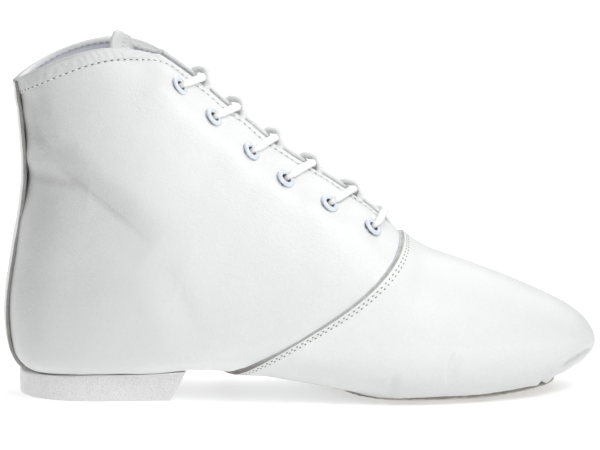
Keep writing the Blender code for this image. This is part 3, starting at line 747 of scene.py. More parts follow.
def plug(tree, socket, value):
    """Links a socket, or sets the number or colour that it holds."""
    if isinstance(value, Value):
        tree.links.new(value.socket, socket)
    elif isinstance(value, (int, float)):
        socket.default_value = value
    else:
        socket.default_value = tuple(value) if len(value) == len(socket.default_value) else (*value, 1.0)


class Finish:
    """A material in the making. One method adds any node."""

    def __init__(self, name):
        self.material = bpy.data.materials.new(name)
        self.material.use_nodes = True
        self.tree = self.material.node_tree
        self.tree.nodes.clear()

    def add(self, kind, settings, sockets, output=0):
        """Adds a node: its settings are set first, then the values or links of its sockets."""
        node = self.tree.nodes.new("ShaderNode" + kind)
        for name, value in settings.items():
            setattr(node, name, value)
        for name, value in sockets.items():
            plug(self.tree, node.inputs[name], value)
        return Value(self.tree, node.outputs[output]) if node.outputs else None

    def coordinates(self, output="Object"):
        """The places that a pattern is worked from."""
        return self.add("TexCoord", {}, {}, output)

    def part(self, place, axis):
        """One coordinate of a place: 0 along the boot, 1 across it and 2 up."""
        return self.add("SeparateXYZ", {}, {"Vector": place}, axis)

    def noise(self, place, size, detail=3.0, roughness=0.55):
        """A soft pattern with features about as large as size."""
        sockets = {"Vector": place, "Scale": 1.0 / size, "Detail": detail, "Roughness": roughness}
        return self.add("TexNoise", {}, sockets)

    def cells(self, place, size, feature="F1"):
        """A pattern of cells about as large as size, from 0 in the middle of each."""
        return self.add("TexVoronoi", {"feature": feature}, {"Vector": place, "Scale": 1.0 / size})

    def stretched(self, place, scale):
        """Places scaled along each axis, so that a pattern on them is drawn out."""
        return self.add("Mapping", {}, {"Vector": place, "Scale": scale})

    def mixed(self, factor, one, other):
        """A colour between two others."""
        return self.add("Mix", {"data_type": "RGBA"}, {0: factor, 6: one, 7: other}, 2)

    def shades(self, factor, colour, dark, light):
        """A colour between a darker and a lighter shade of one colour."""
        return self.mixed(factor, scaled(colour, dark), scaled(colour, light))

    def bumped(self, height, depth, strength):
        """Normals of a surface with this relief."""
        return self.add("Bump", {}, {"Height": height, "Distance": depth, "Strength": strength})

    def close(self, **sockets):
        """Ends the material with a Principled shader whose sockets are given by name."""
        named = {name.replace("_", " "): value for name, value in sockets.items()}
        shader = self.add("BsdfPrincipled", {}, named)
        self.add("OutputMaterial", {}, {"Surface": shader})
        return self.material


def scaled(colour, factor):
    """A darker or lighter shade of a colour."""
    return tuple(min(channel * factor, 1.0) for channel in colour)


def side_view(finish, place):
    """How far a place lies along the boot and up it, in the millimetres of the side view."""
    return [(finish.part(place, axis) - float(SHIFT[axis])) / MM for axis in (0, 2)]


def painted_fold_shade(finish, place):
    """How far shade is painted inside the leather's larger folds, from 0 to 1."""
    along_boot, up = side_view(finish, place)
    folds = {crease.name: crease for crease in CREASES}
    shade = 0.0
    for name, left, right, share in FOLD_SHADES:
        fold = folds[name]
        run_x = fold.to_x - fold.from_x
        run_z = fold.to_z - fold.from_z
        length = math.hypot(run_x, run_z)
        x = along_boot - fold.from_x
        z = up - fold.from_z
        along = (x * run_x + z * run_z) / length**2
        aside = (z * run_x - x * run_z) / length
        band = (1.0 - aside / left).clamped() * (1.0 + aside / right).clamped()
        ends = (along * FOLD_ENDS).clamped() * (FOLD_ENDS - along * FOLD_ENDS).clamped()
        shade = band * ends * share + shade
    return shade


def wrinkled(finish, place):
    """How strongly the leather is finely wrinkled, from 0 to the amounts in the table."""
    along_boot, up = side_view(finish, place)
    total = 0.0
    for middle_x, middle_z, half_x, half_z, amount in WRINKLES:
        x = (along_boot - middle_x) / half_x
        z = (up - middle_z) / half_z
        total = (1.0 - x * x - z * z).clamped() * amount + total
    return total


def leather_finish(
    name, colour, grain=0.0009, depth=0.00032, roughness=0.44, low_darkening=0.0, grey=0.0, folded=False
):
    """Smooth finished leather with grain and pores, with painted shade near the floor, towards the back and
    inside its larger folds.
    """
    finish = Finish(name)
    place = finish.coordinates()
    # The darker colour that all the painted shade below mixes towards
    painted_shade_colour = scaled(colour, 0.5)
    mottle = finish.noise(place, 0.018, 4.0)
    pebble = finish.cells(place, grain, "SMOOTH_F1")
    fine = finish.noise(place, 0.5 * grain, 2.0)
    folds = finish.noise(finish.stretched(place, (1.0, 1.0, 1.8)), 0.006, 5.0, 0.6)
    pores = (1.0 - finish.cells(place, 0.0085) * 26.0).clamped()
    height = pebble * 0.6 + fine * 0.5 + folds * 0.9 - pores * 0.8
    speckle = (finish.noise(place, 0.5 * grain, 1.0) * 2.4 - 0.7).clamped()
    blotch = mottle * 0.4 + speckle * 0.6
    tone = finish.shades(blotch, colour, 0.955, 1.04)
    tone = finish.mixed(pores * 0.5, tone, scaled(colour, 0.45))
    # Painted shade: the leather is painted darker behind the middle of the boot, more so higher up
    if grey:
        behind = ((-SHADE_BEHIND_FROM - finish.part(place, 0)) / SHADE_BEHIND_REACH).clamped()
        raised = (finish.part(place, 2) / SHADE_BEHIND_HEIGHT + 0.2).clamped()
        tone = finish.mixed((blotch + 0.5) * behind * raised * grey, tone, painted_shade_colour)
    # Painted shade: darker inside the larger folds; the fine wrinkles there are only bumps
    if folded:
        tone = finish.mixed((blotch + 0.5) * painted_fold_shade(finish, place), tone, painted_shade_colour)
        rumple = finish.noise(finish.stretched(place, (0.45, 0.45, 1.0)), 0.0020, 3.0, 0.6)
        height = height + wrinkled(finish, place) * rumple
    # Painted shade: the leather is painted darker towards the floor
    if low_darkening:
        low = (1.0 - finish.part(place, 2) / LOW_DARKENING_HEIGHT).clamped()
        tone = finish.mixed((mottle * 0.5 + 0.75) * low * low_darkening, tone, painted_shade_colour)
    return finish.close(
        Base_Color=tone,
        Roughness=mottle * 0.12 + fine * 0.06 + (roughness - 0.09),
        Coat_Weight=0.10,
        Coat_Roughness=0.34,
        Specular_IOR_Level=0.45,
        Normal=finish.bumped(height, depth, 0.6),
    )


def raw_edge_finish(name, colour, dark=0.55, light=1.6, low_darkening=0.0):
    """Cut leather: loose fibres, darker where they are deep and darkened to a dark brown near the floor."""
    finish = Finish(name)
    place = finish.coordinates()
    fibres = finish.noise(finish.stretched(place, (1.0, 1.0, 2.4)), 0.0005, 4.0, 0.7)
    patches = finish.noise(place, 0.004, 3.0)
    tone = finish.shades((fibres * 1.5 + patches * 0.7 - 0.6).clamped(), colour, dark, light)
    # Darker towards the floor
    if low_darkening:
        dark_brown = (0.11, 0.095, 0.08)
        low = (2.2 - finish.part(place, 2) * 2.2 / LOW_DARKENING_HEIGHT).clamped()
        tone = finish.mixed((fibres * 0.5 + 0.75) * low * low_darkening, tone, dark_brown)
    return finish.close(Base_Color=tone, Roughness=0.92, Normal=finish.bumped(fibres, 0.0004, 0.8))


def woven_finish(name, colour, thread=0.0007, depth=0.00012):
    """A plain weave, with its threads along the boot and up it."""
    finish = Finish(name)
    place = finish.coordinates()
    x, y, z = (finish.part(place, axis) for axis in range(3))
    turns = math.tau / thread
    warp = ((x + y * 0.4) * turns).sine() * 0.5 + 0.5
    weft = ((z + y * 0.6) * turns).sine() * 0.5 + 0.5
    slubs = finish.noise(place, 0.004, 3.0)
    height = warp * 0.5 + weft * 0.5
    tone = finish.shades(height * 0.5 + slubs * 0.5, colour, 0.86, 1.08)
    return finish.close(
        Base_Color=tone, Roughness=0.88, Sheen_Weight=0.15, Normal=finish.bumped(height, depth, 0.5)
    )


def suede_finish(name, colour):
    """Napped split leather with brushed patches."""
    finish = Finish(name)
    place = finish.coordinates()
    nap = finish.noise(place, 0.0006, 4.0, 0.7)
    brushed = finish.noise(finish.stretched(place, (0.5, 1.0, 1.0)), 0.009, 3.0)
    tone = finish.shades((nap * 0.6 + brushed * 0.9 - 0.25).clamped(), colour, 0.66, 1.32)
    return finish.close(
        Base_Color=tone, Roughness=0.95, Sheen_Weight=0.3, Normal=finish.bumped(nap, 0.0005, 0.7)
    )


def rubber_finish(name, colour):
    """Foamed rubber, matte, with small dark and light specks."""
    finish = Finish(name)
    place = finish.coordinates()
    specks = finish.cells(place, 0.0011)
    crumbs = finish.noise(place, 0.0004, 3.0, 0.7)
    pits = (1.0 - specks * 3.2).clamped()
    broad = finish.noise(place, 0.012, 2.0)
    tone = finish.shades((crumbs * 2.6 + broad * 0.35 - 0.95).clamped(), colour, 0.76, 1.06)
    tone = finish.mixed(pits * 0.45, tone, scaled(colour, 0.5))
    return finish.close(
        Base_Color=tone,
        Roughness=specks * 0.08 + 0.84,
        Normal=finish.bumped(crumbs * 0.7 + specks * 0.4, 0.00025, 0.6),
    )


def enamel_finish(name, colour):
    """Baked enamel on stamped metal."""
    finish = Finish(name)
    place = finish.coordinates()
    ripple = finish.noise(place, 0.0016, 2.0)
    chips = finish.noise(place, 0.0007, 3.0)
    tone = finish.shades(ripple * 0.6 + chips * 0.4, colour, 0.93, 1.05)
    return finish.close(
        Base_Color=tone,
        Roughness=chips * 0.10 + 0.20,
        Coat_Weight=0.5,
        Coat_Roughness=0.12,
        Normal=finish.bumped(ripple, 0.00005, 0.3),
    )


def braid_finish(name, colour, strands, yarn_pitch=0.0018):
    """A tubular braid: two sets of yarns that lean opposite ways round the cord, on its own map."""
    finish = Finish(name)
    place = finish.coordinates("UV")
    round_it, along = (finish.part(place, axis) for axis in range(2))
    lean = math.tau / yarn_pitch
    one = (round_it * (math.tau * strands) + along * lean).sine()
    other = (round_it * (math.tau * strands) - along * lean).sine()
    fuzz = finish.noise(finish.coordinates(), 0.0004, 3.0)
    height = one * other * 0.5 + fuzz * 0.5 + 0.25
    tone = finish.shades(height.clamped(), colour, 0.90, 1.06)
    return finish.close(
        Base_Color=tone, Roughness=0.86, Sheen_Weight=0.2, Normal=finish.bumped(height, 0.00009, 0.5)
    )


def thread_finish(name, colour):
    """Twisted thread."""
    finish = Finish(name)
    fuzz = finish.noise(finish.coordinates(), 0.00035, 2.0)
    tone = finish.shades(fuzz, colour, 0.9, 1.04)
    return finish.close(Base_Color=tone, Roughness=0.75, Normal=finish.bumped(fuzz, 0.0001, 0.5))


def hole_shade_finish(name):
    """Painted shade: the flat dark colour of a needle hole's mouth or an eyelet's bore."""
    finish = Finish(name)
    depth = finish.noise(finish.coordinates(), 0.0008, 2.0)
    tone = finish.mixed(depth, (0.055, 0.055, 0.06), (0.24, 0.24, 0.25))
    return finish.close(Base_Color=tone, Roughness=0.95)


def lattice(points, normals=None):
    """A grid of cells whose corners are moved to an array of points, lines by columns.

    With normals, one for each point, the faces are turned to point their way.
    """
    lines, columns = points.shape[:2]
    bm = bmesh.new()
    bm.loops.layers.uv.new("Sheet")
    bmesh.ops.create_grid(bm, x_segments=columns - 1, y_segments=lines - 1, size=1.0, calc_uvs=True)
    ways = {}
    for vert in bm.verts:
        i = round(0.5 * (vert.co.x + 1.0) * (columns - 1))
        j = round(0.5 * (vert.co.y + 1.0) * (lines - 1))
        vert.co = points[j, i]
        if normals is not None:
            ways[vert] = Vector(normals[j, i])
    bm.normal_update()
    agreement = sum(face.normal.dot(ways[face.verts[0]]) for face in bm.faces if ways)
    if agreement < 0.0:
        bmesh.ops.reverse_faces(bm, faces=bm.faces)
    return bm


def object_from(name, bm):
    """An object in the scene that takes over a bmesh."""
    mesh = bpy.data.meshes.new(name)
    bm.to_mesh(mesh)
    bm.free()
    made = bpy.data.objects.new(name, mesh)
    bpy.context.scene.collection.objects.link(made)
    return made


def piece_from(name, bm, finishes, nodes, wall=0.0, inside=0, rim=0):
    """A finished piece that rides on the boot, with its materials, its wall and the solids it replaces."""
    for face in bm.faces:
        face.smooth = True
    piece = object_from(name, bm)
    for finish in finishes:
        piece.data.materials.append(finish)
    if wall:
        thickness = piece.modifiers.new("Wall", "SOLIDIFY")
        thickness.thickness = wall
        thickness.offset = -1.0
        thickness.use_even_offset = False
        thickness.material_offset = inside
        thickness.material_offset_rim = rim
    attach(piece, BODY)
    if nodes:
        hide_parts(*nodes)
    return piece


def close_tube(bm):
    """Merges a tube's seam, fills its two ends and turns its faces outwards."""
    bmesh.ops.remove_doubles(bm, verts=bm.verts, dist=MERGE_DISTANCE)
    ends = [edge for edge in bm.edges if edge.is_boundary]
    bmesh.ops.edgeloop_fill(bm, edges=ends)
    bmesh.ops.recalc_face_normals(bm, faces=bm.faces)


def across_lines(rows, ends_of, count):
    """Turn and side of each place on lines from the outer side to the inner one, a line for each row.

    For a row and a side, ends_of gives the turn where a line's halves meet and the one where it ends.
    """
    turns, sides = [], []
    for row in rows:
        outer, inner = (even_turns(row, side, *ends_of(row, side), count) for side in BOTH)
        turns.append(np.concatenate([outer[::-1], inner[1:]]))
        sides.append(np.repeat(BOTH, (count, count - 1)))
    return np.array(turns), np.array(sides)


class BootOperator(bpy.types.Operator):
    """Shared by the operators that make the boot's pieces."""

    bl_options = {"REGISTER"}

    @classmethod
    def poll(cls, context):
        return context.scene is not None


class BOOT_OT_vamp(BootOperator):
    """Make the vamp, which laps over the quarters with a raw cut edge"""

    bl_idname = "boot.vamp"
    bl_label = "Vamp"

    LINES, COLUMNS = 150, 100
    TIP_LINES = 13
    # The cut edge: share of its width behind the seam row, and share of the vamp's step left there
    EDGE = ((0.25, 0.92), (0.7, 0.5), (1.0, 0.06))
    EDGE_SPREAD = 1.5
    RAGGED_HEIGHT, RAGGED_LENGTH = 0.00012, 0.0035

    def cut_edge(self, turns, sides, width):
        """Points and normals of the slanting cut edge, which is wider and more ragged low down."""
        spread = 1.0 + self.EDGE_SPREAD * smooth(share_between(turns, 0.55, 0.95))
        seam = last_point(SEAM_ROW, turns, sides)
        ragged = self.RAGGED_HEIGHT * spread * unevenness(seam, self.RAGGED_LENGTH)
        points, normals = [], []
        for reach, height in self.EDGE:
            back = SEAM_ROW + reach * width * spread / row_speed(SEAM_ROW, turns, sides)
            points.append(skin(back, turns, sides, WALL + VAMP_STEP * height + ragged))
            normals.append(skin_normal(back, turns, sides))
        return np.array(points), np.array(normals)

    def execute(self, context):
        colours = context.scene.boot_colours
        tip_rows = np.linspace(0.0, 1.0, self.TIP_LINES, endpoint=False)
        rows = np.concatenate([tip_rows, even_rows(1.0, SEAM_ROW, self.LINES)])
        turns, sides = across_lines(rows, lambda row, side: (0.0, low_turn(row, side)), self.COLUMNS)
        row_grid, bare, normals = laid(rows, turns, sides)
        body = lifted(bare, normals, vamp_height(row_grid, turns, sides))
        edge, edge_normals = self.cut_edge(turns[-1], sides[-1], context.scene.boot_sizes.raw_edge)
        bm = lattice(np.concatenate([body, edge]), np.concatenate([normals, edge_normals]))
        per_line = turns.shape[1] - 1
        bm.faces.ensure_lookup_table()
        for face in bm.faces[per_line * (len(rows) - 1) :]:
            face.material_index = 1
        for face in bm.faces[-per_line:]:
            face.material_index = 2
        bmesh.ops.remove_doubles(bm, verts=bm.verts, dist=MERGE_DISTANCE)
        # The vamp's leather gets painted shade near the floor and inside its folds; its raw edges are
        # darkened near the floor
        leather = leather_finish("vamp_leather", colours.leather, low_darkening=0.45, folded=True)
        raw = raw_edge_finish("vamp_raw_edge", colours.raw_edge, low_darkening=0.75)
        fringe = raw_edge_finish("vamp_fringe", scaled(colours.lining, 0.80), 0.6, 1.3, low_darkening=0.75)
        piece_from("vamp", bm, [leather, raw, fringe], ["upper"], wall=VAMP_STEP, rim=1)
        return {"FINISHED"}


class BOOT_OT_quarters(BootOperator):
    """Make the two quarters, lined, with folded throat edges and eyelet holes"""

    bl_idname = "boot.quarters"
    bl_label = "Quarters"

    LINES, COLUMNS = 190, 150
    LAP_ROWS = 0.12
    HOLE_RADIUS = 0.0031
    CURL_FROM_COLLAR = (0.003, 0.016)
    ROLL_DEPTH, ROLL_WIDTH = 0.0005, 0.0014
    GROOVE_DEPTH, GROOVE_WIDTH = 0.00025, 0.0008

    def hem(self, side, sizes, from_throat, from_collar):
        """Relief of the folded throat edge: rolled at its edge and sunk along its stitch row."""
        stitched = sizes.throat_row
        folded = 1.0 - smooth(share_between(from_throat, 0.8 * stitched, stitched))
        curl = 0.0
        if side == INNER:
            curl = FAR_CURL * smooth(share_between(from_collar, *self.CURL_FROM_COLLAR))
        rolled = self.ROLL_DEPTH * (1.0 - smooth(share_between(from_throat, 0.0, self.ROLL_WIDTH)))
        groove = self.GROOVE_DEPTH * np.exp(-(((from_throat - stitched) / self.GROOVE_WIDTH) ** 2))
        return (sizes.hem_height + curl) * folded - rolled - groove

    def quarter(self, side, sizes, colours):
        """One quarter, from beneath the vamp's edge to the collar."""
        rows = even_rows(SEAM_ROW - self.LAP_ROWS, COLLAR_ROW, self.LINES)
        turns, row_grid = [], []
        for row in rows:
            first = turn_from(0.0, row, side, throat_edge(row, side))
            turns.append(even_turns(row, side, first, low_turn(row, side), self.COLUMNS))
            row_grid.append(rounded_rows(row, turns[-1], side))
        turns, row_grid = np.array(turns), np.array(row_grid)
        bare = last_point(row_grid, turns, side)
        normals = skin_normal(row_grid, turns, side)
        from_throat = lengths_along(bare.swapaxes(0, 1)).T
        from_collar = lengths_along(bare[::-1])[::-1]
        in_throat = smooth(share_between(row_grid, THROAT_ROW, THROAT_ROW + THROAT_OPENING_ROWS))
        offset = quarter_height(bare, side, np.minimum(from_throat, from_collar))
        offset = offset + self.hem(side, sizes, from_throat, from_collar) * in_throat
        bm = lattice(lifted(bare, normals, offset), normals)
        for eyelet in EYELETS:
            middle = Vector(eyelet_frame(eyelet, side)[0])
            gone = [f for f in bm.faces if (f.calc_center_median() - middle).length < self.HOLE_RADIUS]
            bmesh.ops.delete(bm, geom=gone, context="FACES")
        label = SIDES[side]
        # Painted shade on the quarters: darker behind the middle of the boot and inside the larger folds
        leather = leather_finish(f"quarter_{label}_leather", colours.leather, grey=0.40, folded=True)
        lining = woven_finish(f"quarter_{label}_lining", colours.lining)
        piece_from(
            f"quarter_{label}", bm, [leather, lining], ["upper"], wall=WALL, inside=1
        )

    def execute(self, context):
        for side in SIDES:
            self.quarter(side, context.scene.boot_sizes, context.scene.boot_colours)
        return {"FINISHED"}


class BOOT_OT_collar(BootOperator):
    """Make the folded collar band, from one front corner round the back to the other"""

    bl_idname = "boot.collar"
    bl_label = "Collar band"

    STATIONS = 240
    END_TAPER = 0.014
    # Height from the collar edge, as a share of the hem, and share of the band's thickness, round the fold
    OUTSIDE = (
        (-1.08, -0.2), (-1.02, 0.06), (-0.96, 0.05), (-0.88, 0.22), (-0.76, 0.42),
        (-0.62, 0.55), (-0.48, 0.62), (-0.34, 0.66), (-0.22, 0.70), (-0.10, 0.74),
    )
    INSIDE = (
        (-0.05, 1.0), (-0.12, 0.95), (-0.17, 0.75), (-0.20, 0.5), (-0.45, 0.5), (-0.75, 0.5), (-1.0, 0.1),
    )
    ROUND_LINES = 9
    OUTER_ROUND_LINES = 4
    LINED_LINES = 4
    PUCKER_HEIGHT, PUCKER_LENGTH = 0.00018, 0.0031
    SLANT_HEIGHT, SLANT_LENGTH = 0.00016, 0.0052

    def fold(self):
        """Each line's share of the hem, rise and distance off the last, and what the thickness adds."""
        lines = [(up, 0.0, WALL, SEAT_GAP + BINDING_THICKNESS * thick) for up, thick in self.OUTSIDE]
        over = SEAT_GAP + BINDING_THICKNESS
        for angle in np.linspace(0.1 * math.pi, 0.9 * math.pi, self.ROUND_LINES):
            off = 0.5 * WALL * (1.0 + math.cos(angle))
            lines.append((0.0, over * math.sin(angle), off, over * math.cos(angle)))
        for up, thick in self.INSIDE:
            lines.append((up, 0.0, 0.0, -SEAT_GAP - BINDING_THICKNESS * thick))
        return lines

    def ends(self, row, side):
        """The turns of the back line, where the band's halves meet, and of its end on one side."""
        return 1.0, turn_from(0.0, row, side, throat_edge(row, side) + 0.25 * BINDING_SETBACK)

    def execute(self, context):
        colours = context.scene.boot_colours
        turns, sides = (lines[0] for lines in across_lines([COLLAR_ROW], self.ends, self.STATIONS))
        edge = np.where(sides == OUTER, *(rounded_rows(COLLAR_ROW, turns, side) for side in BOTH))
        speed = row_speed(edge, turns, sides)
        length = lengths_along(last_point(edge, turns, sides))
        from_end = np.minimum(length, length[-1] - length)
        taper = 0.06 + 0.94 * smooth(share_between(from_end, 0.0, self.END_TAPER))
        hem = hem_width(1.0 - from_end / from_end.max())
        pucker = np.sin(length * math.tau / self.PUCKER_LENGTH + 2.1 * np.sin(length * 190.0))
        pucker = self.PUCKER_HEIGHT * pucker * (0.6 + 0.4 * np.sin(length * 83.0))
        slant = np.sin(length * math.tau / self.SLANT_LENGTH + 1.3 * np.sin(length * 121.0))
        lines, normals = [], []
        for up, rise, off, thick in self.fold():
            row = edge + (up * hem + rise * taper) / speed
            belly = math.exp(-(((up + 0.55) / 0.45) ** 2)) if thick > 0.0 else 0.0
            rough = belly * (pucker + self.SLANT_HEIGHT * slant * math.cos(up * 5.0))
            lines.append(skin(row, turns, sides, off + thick * taper + rough))
            normals.append(skin_normal(row, turns, sides) * (1.0 if off > 0.5 * WALL else -1.0))
        bm = lattice(np.array(lines), np.array(normals))
        turned_in_from = len(self.OUTSIDE) + self.OUTER_ROUND_LINES
        lined_from = len(lines) - 1 - self.LINED_LINES
        for number, face in enumerate(bm.faces):
            line = number // (len(turns) - 1)
            face.material_index = int(line >= turned_in_from) + int(line >= lined_from)
        # Painted shade: the band's outside is a slightly darker copy of the leather, painted darker still
        # behind the middle of the boot
        tone = scaled(colours.leather, 0.96)
        leather = leather_finish("collar_leather", tone, grain=0.0011, depth=0.00038, grey=0.46)
        turned_in = leather_finish("collar_turned_in", colours.leather, grain=0.0011, depth=0.00030)
        lining = woven_finish("collar_lining", colours.lining)
        piece_from("collar_band", bm, [leather, turned_in, lining], ["collar_binding"])
        return {"FINISHED"}


def gathered(first, last, count):
    """Numbers from first to last that lie closer together towards both ends."""
    swing = np.cos(np.linspace(math.pi, 0.0, count))
    return 0.5 * (first + last) + 0.5 * (last - first) * swing


class BOOT_OT_soles(BootOperator):
    """Make the napped forefoot patch, the heel block and the insole"""

    bl_idname = "boot.soles"
    bl_label = "Soles"

    PATCH_LINES, PATCH_COLUMNS = 120, 60
    RIM_FROM = 0.9
    RIM_DROP = 0.0004
    RAGGED_HEIGHT, RAGGED_LENGTH = 0.00035, 0.0042
    HEEL_POINTS = 61
    HEEL_CURVE = 1.25
    HEEL_RIM = 0.0007
    RIM_ANGLE = math.radians(40.0)
    SHARP_ANGLE = math.radians(35.0)
    SEAT_LINES = 60
    INSOLE_LINES, INSOLE_COLUMNS = 90, 40

    def patch_lines(self, patch, lines, columns):
        """The last's points and normals over a patch, closer together towards its ends."""
        rows = gathered(*patch.rows, lines)
        turns, sides = across_lines(rows, lambda row, side: (1.0, patch_edge(patch, row, side)), columns)
        _, bare, normals = laid(rows, turns, sides)
        return bare, normals

    def forefoot_patch(self, colours):
        """A thin patch with a ragged cut edge, flat where it stands on the floor."""
        bare, normals = self.patch_lines(FOREFOOT_PATCH, self.PATCH_LINES, self.PATCH_COLUMNS)
        across = np.abs(np.linspace(-1.0, 1.0, bare.shape[1]))
        rim = smooth(share_between(across, self.RIM_FROM, 1.0))
        ragged = self.RAGGED_HEIGHT * rim * unevenness(bare, self.RAGGED_LENGTH)
        points = lifted(bare, normals, WALL + SEAT_GAP + SOLE_THICKNESS - self.RIM_DROP * rim + ragged)
        points[..., 2] = np.maximum(points[..., 2], 0.0)
        bm = lattice(points, normals)
        suede = suede_finish("sole_suede", colours.suede)
        # The patch's cut edge is a darker copy of the suede: the real raw edge with the shadow of the gap
        # under the upper painted into it
        edge = raw_edge_finish("sole_raw_edge_and_shadow", scaled(colours.suede, 0.65), 0.4, 1.5)
        piece_from(
            "forefoot_patch", bm, [suede, edge], ["forefoot_sole"],
            wall=SOLE_THICKNESS - SEAT_GAP, rim=1,
        )

    def heel_outline(self):
        """Points round the heel block where it stands on the floor, from one front corner to the other."""
        depth = self.HEEL_CURVE * HEEL_HALF_WIDTH
        corner = HEEL_HALF_WIDTH - HEEL_FRONT_TAPER
        outline = [(HEEL_FLOOR_FRONT_X, corner)]
        for angle in np.linspace(0.0, math.pi, self.HEEL_POINTS):
            across = math.copysign(abs(math.cos(angle)) ** HEEL_ROUNDNESS, math.cos(angle))
            along = max(math.sin(angle), 0.0) ** HEEL_ROUNDNESS
            outline.append((HEEL_BACK_X + depth * (1.0 - along), HEEL_HALF_WIDTH * across))
        outline.append((HEEL_FLOOR_FRONT_X, -corner))
        return outline

    def heel_block(self, colours):
        """A block with a D outline and a slanting front, hollowed to seat the upper's heel."""
        rise = (HEEL_FRONT_TOP - HEEL_BACK_TOP) / (HEEL_TOP_FRONT_X - HEEL_BACK_X)
        bm = bmesh.new()
        floor = bm.faces.new([bm.verts.new((x, y, 0.0)) for x, y in self.heel_outline()])
        grown = bmesh.ops.extrude_face_region(bm, geom=[floor])
        tops = [item for item in grown["geom"] if isinstance(item, bmesh.types.BMVert)]
        for vert in tops:
            if vert.co.x > HEEL_FLOOR_FRONT_X - 1e-5:
                vert.co.x = HEEL_TOP_FRONT_X
            vert.co.z = HEEL_BACK_TOP + rise * (vert.co.x - HEEL_BACK_X)
        bmesh.ops.translate(bm, verts=bm.verts, vec=Vector(SHIFT))
        bmesh.ops.recalc_face_normals(bm, faces=bm.faces)
        rims = [edge for edge in bm.edges if edge.calc_face_angle(0.0) > self.RIM_ANGLE]
        bmesh.ops.bevel(
            bm, geom=rims, offset=self.HEEL_RIM, segments=3, profile=0.5, affect="EDGES", material=-1
        )
        rubber = rubber_finish("heel_rubber", colours.rubber)
        heel = piece_from("heel_block", bm, [rubber], ["heel"])
        self.hollow(heel)

    def hollow(self, heel):
        """Cuts the outside of the upper's heel out of the block."""
        rows = np.linspace(SEAM_ROW - 0.5, ROW["ankle"], self.SEAT_LINES)
        turns, sides = across_lines(rows, lambda row, side: (1.0, 0.0), self.SEAT_LINES)
        _, bare, normals = laid(rows, turns, sides)
        seat = lattice(lifted(bare, normals, WALL + SEAT_GAP))
        close_tube(seat)
        cutter = object_from("heel_seat", seat)
        cut = heel.modifiers.new("Seat", "BOOLEAN")
        cut.object = cutter
        cut.solver = "EXACT"
        graph = bpy.context.evaluated_depsgraph_get()
        shaped = bpy.data.meshes.new_from_object(heel.evaluated_get(graph))
        heel.modifiers.clear()
        heel.data = shaped
        shaped.set_sharp_from_angle(angle=self.SHARP_ANGLE)
        bpy.data.objects.remove(cutter)

    def footbed(self, colours):
        """A thin cushioned sheet on the floor of the boot."""
        bare, normals = self.patch_lines(INSOLE_PATCH, self.INSOLE_LINES, self.INSOLE_COLUMNS)
        bm = lattice(lifted(bare, -normals, INSOLE_CLEARANCE + INSOLE_THICKNESS), -normals)
        cover = woven_finish("insole_cover", colours.insole, thread=0.0009)
        piece_from("footbed", bm, [cover], ["insole"], wall=INSOLE_THICKNESS)

    def execute(self, context):
        colours = context.scene.boot_colours
        self.forefoot_patch(colours)
        self.heel_block(colours)
        self.footbed(colours)
        return {"FINISHED"}


def tongue_held(row, across):
    """A line across the tongue where the quarters hold it against the last, and the ways out of it."""
    share = share_between(row, *TONGUE_ROWS)
    low_end = 1.0 - share_between(share, 0.0, 0.1)
    half = TONGUE_HALF_LOW + (TONGUE_HALF_TOP - TONGUE_HALF_LOW) * share
    half *= math.sqrt(1.0 - 0.9 * low_end * low_end)
    row = min(row, TONGUE_ROWS[1])
    depth = smooth(share_between(row, ROW["instep"], ROW["upper ankle"]))
    offset = -TONGUE_DEPTH_LOW - (TONGUE_DEPTH_TOP - TONGUE_DEPTH_LOW) * depth
    sides = np.where(across > 0.0, INNER, OUTER)
    turns = np.array([turn_from(0.0, row, side, half * abs(step)) for step, side in zip(across, sides)])
    return skin(row, turns, sides, offset), skin_normal(row, turns, sides)


def tongue_free(row, across):
    """A line across the tongue's free end, curled back at its edges and higher on the outer side."""
    path = smooth_curve(TONGUE_FREE_PATH, 20) * MM
    knots = np.linspace(TONGUE_FREE_ROW, TONGUE_LAST_ROW, len(path))
    behind, middle, ahead = (
        np.array([np.interp(spot, knots, path[:, axis]) for axis in range(2)])
        for spot in (row - ROW_STEP, row, row + ROW_STEP)
    )
    along = unit(ahead - behind)
    front = np.array((along[1], -along[0]))
    tip = smooth(share_between(row, TONGUE_FREE_ROW + 2.5, TONGUE_LAST_ROW))
    near, far = np.maximum(-across, 0.0), np.maximum(across, 0.0)
    trim = TONGUE_CORNER_TRIM * smooth(share_between(np.abs(across), TONGUE_CORNER_FROM, 1.0))
    skew = (near * TONGUE_TIP_ASKEW - far * TONGUE_TIP_FALL - trim) * tip
    curled = (0.5 + 0.5 * tip) * near**1.3 + (1.0 - tip) * far**2.4
    back = TONGUE_TIP_CURVE * curled - TONGUE_TIP_FORWARD * tip * far**1.3
    spots = middle + along * skew[:, None] - front * back[:, None]
    points = np.stack([spots[:, 0], TONGUE_TIP_HALF * across, spots[:, 1]], axis=-1) + SHIFT
    ways = np.array([(front[0], 0.9 * step, front[1]) for step in across])
    return points, unit(ways)


def tongue_sheet(rows, across):
    """Points of the tongue's outer face and the ways out of it, lines across by columns along."""
    lines, normal_lines = [], []
    for row in rows:
        loose = float(smooth(share_between(row, TONGUE_FREE_ROW - 0.5, TONGUE_FREE_ROW + 1.5)))
        held, held_ways = tongue_held(row, across)
        free, free_ways = tongue_free(max(row, TONGUE_FREE_ROW), across)
        lines.append(held * (1.0 - loose) + free * loose)
        normal_lines.append(unit(held_ways * (1.0 - loose) + free_ways * loose))
    points, normals = np.array(lines), np.array(normal_lines)
    return lifted(points, normals, wavy(points, TONGUE_WAVES)), normals


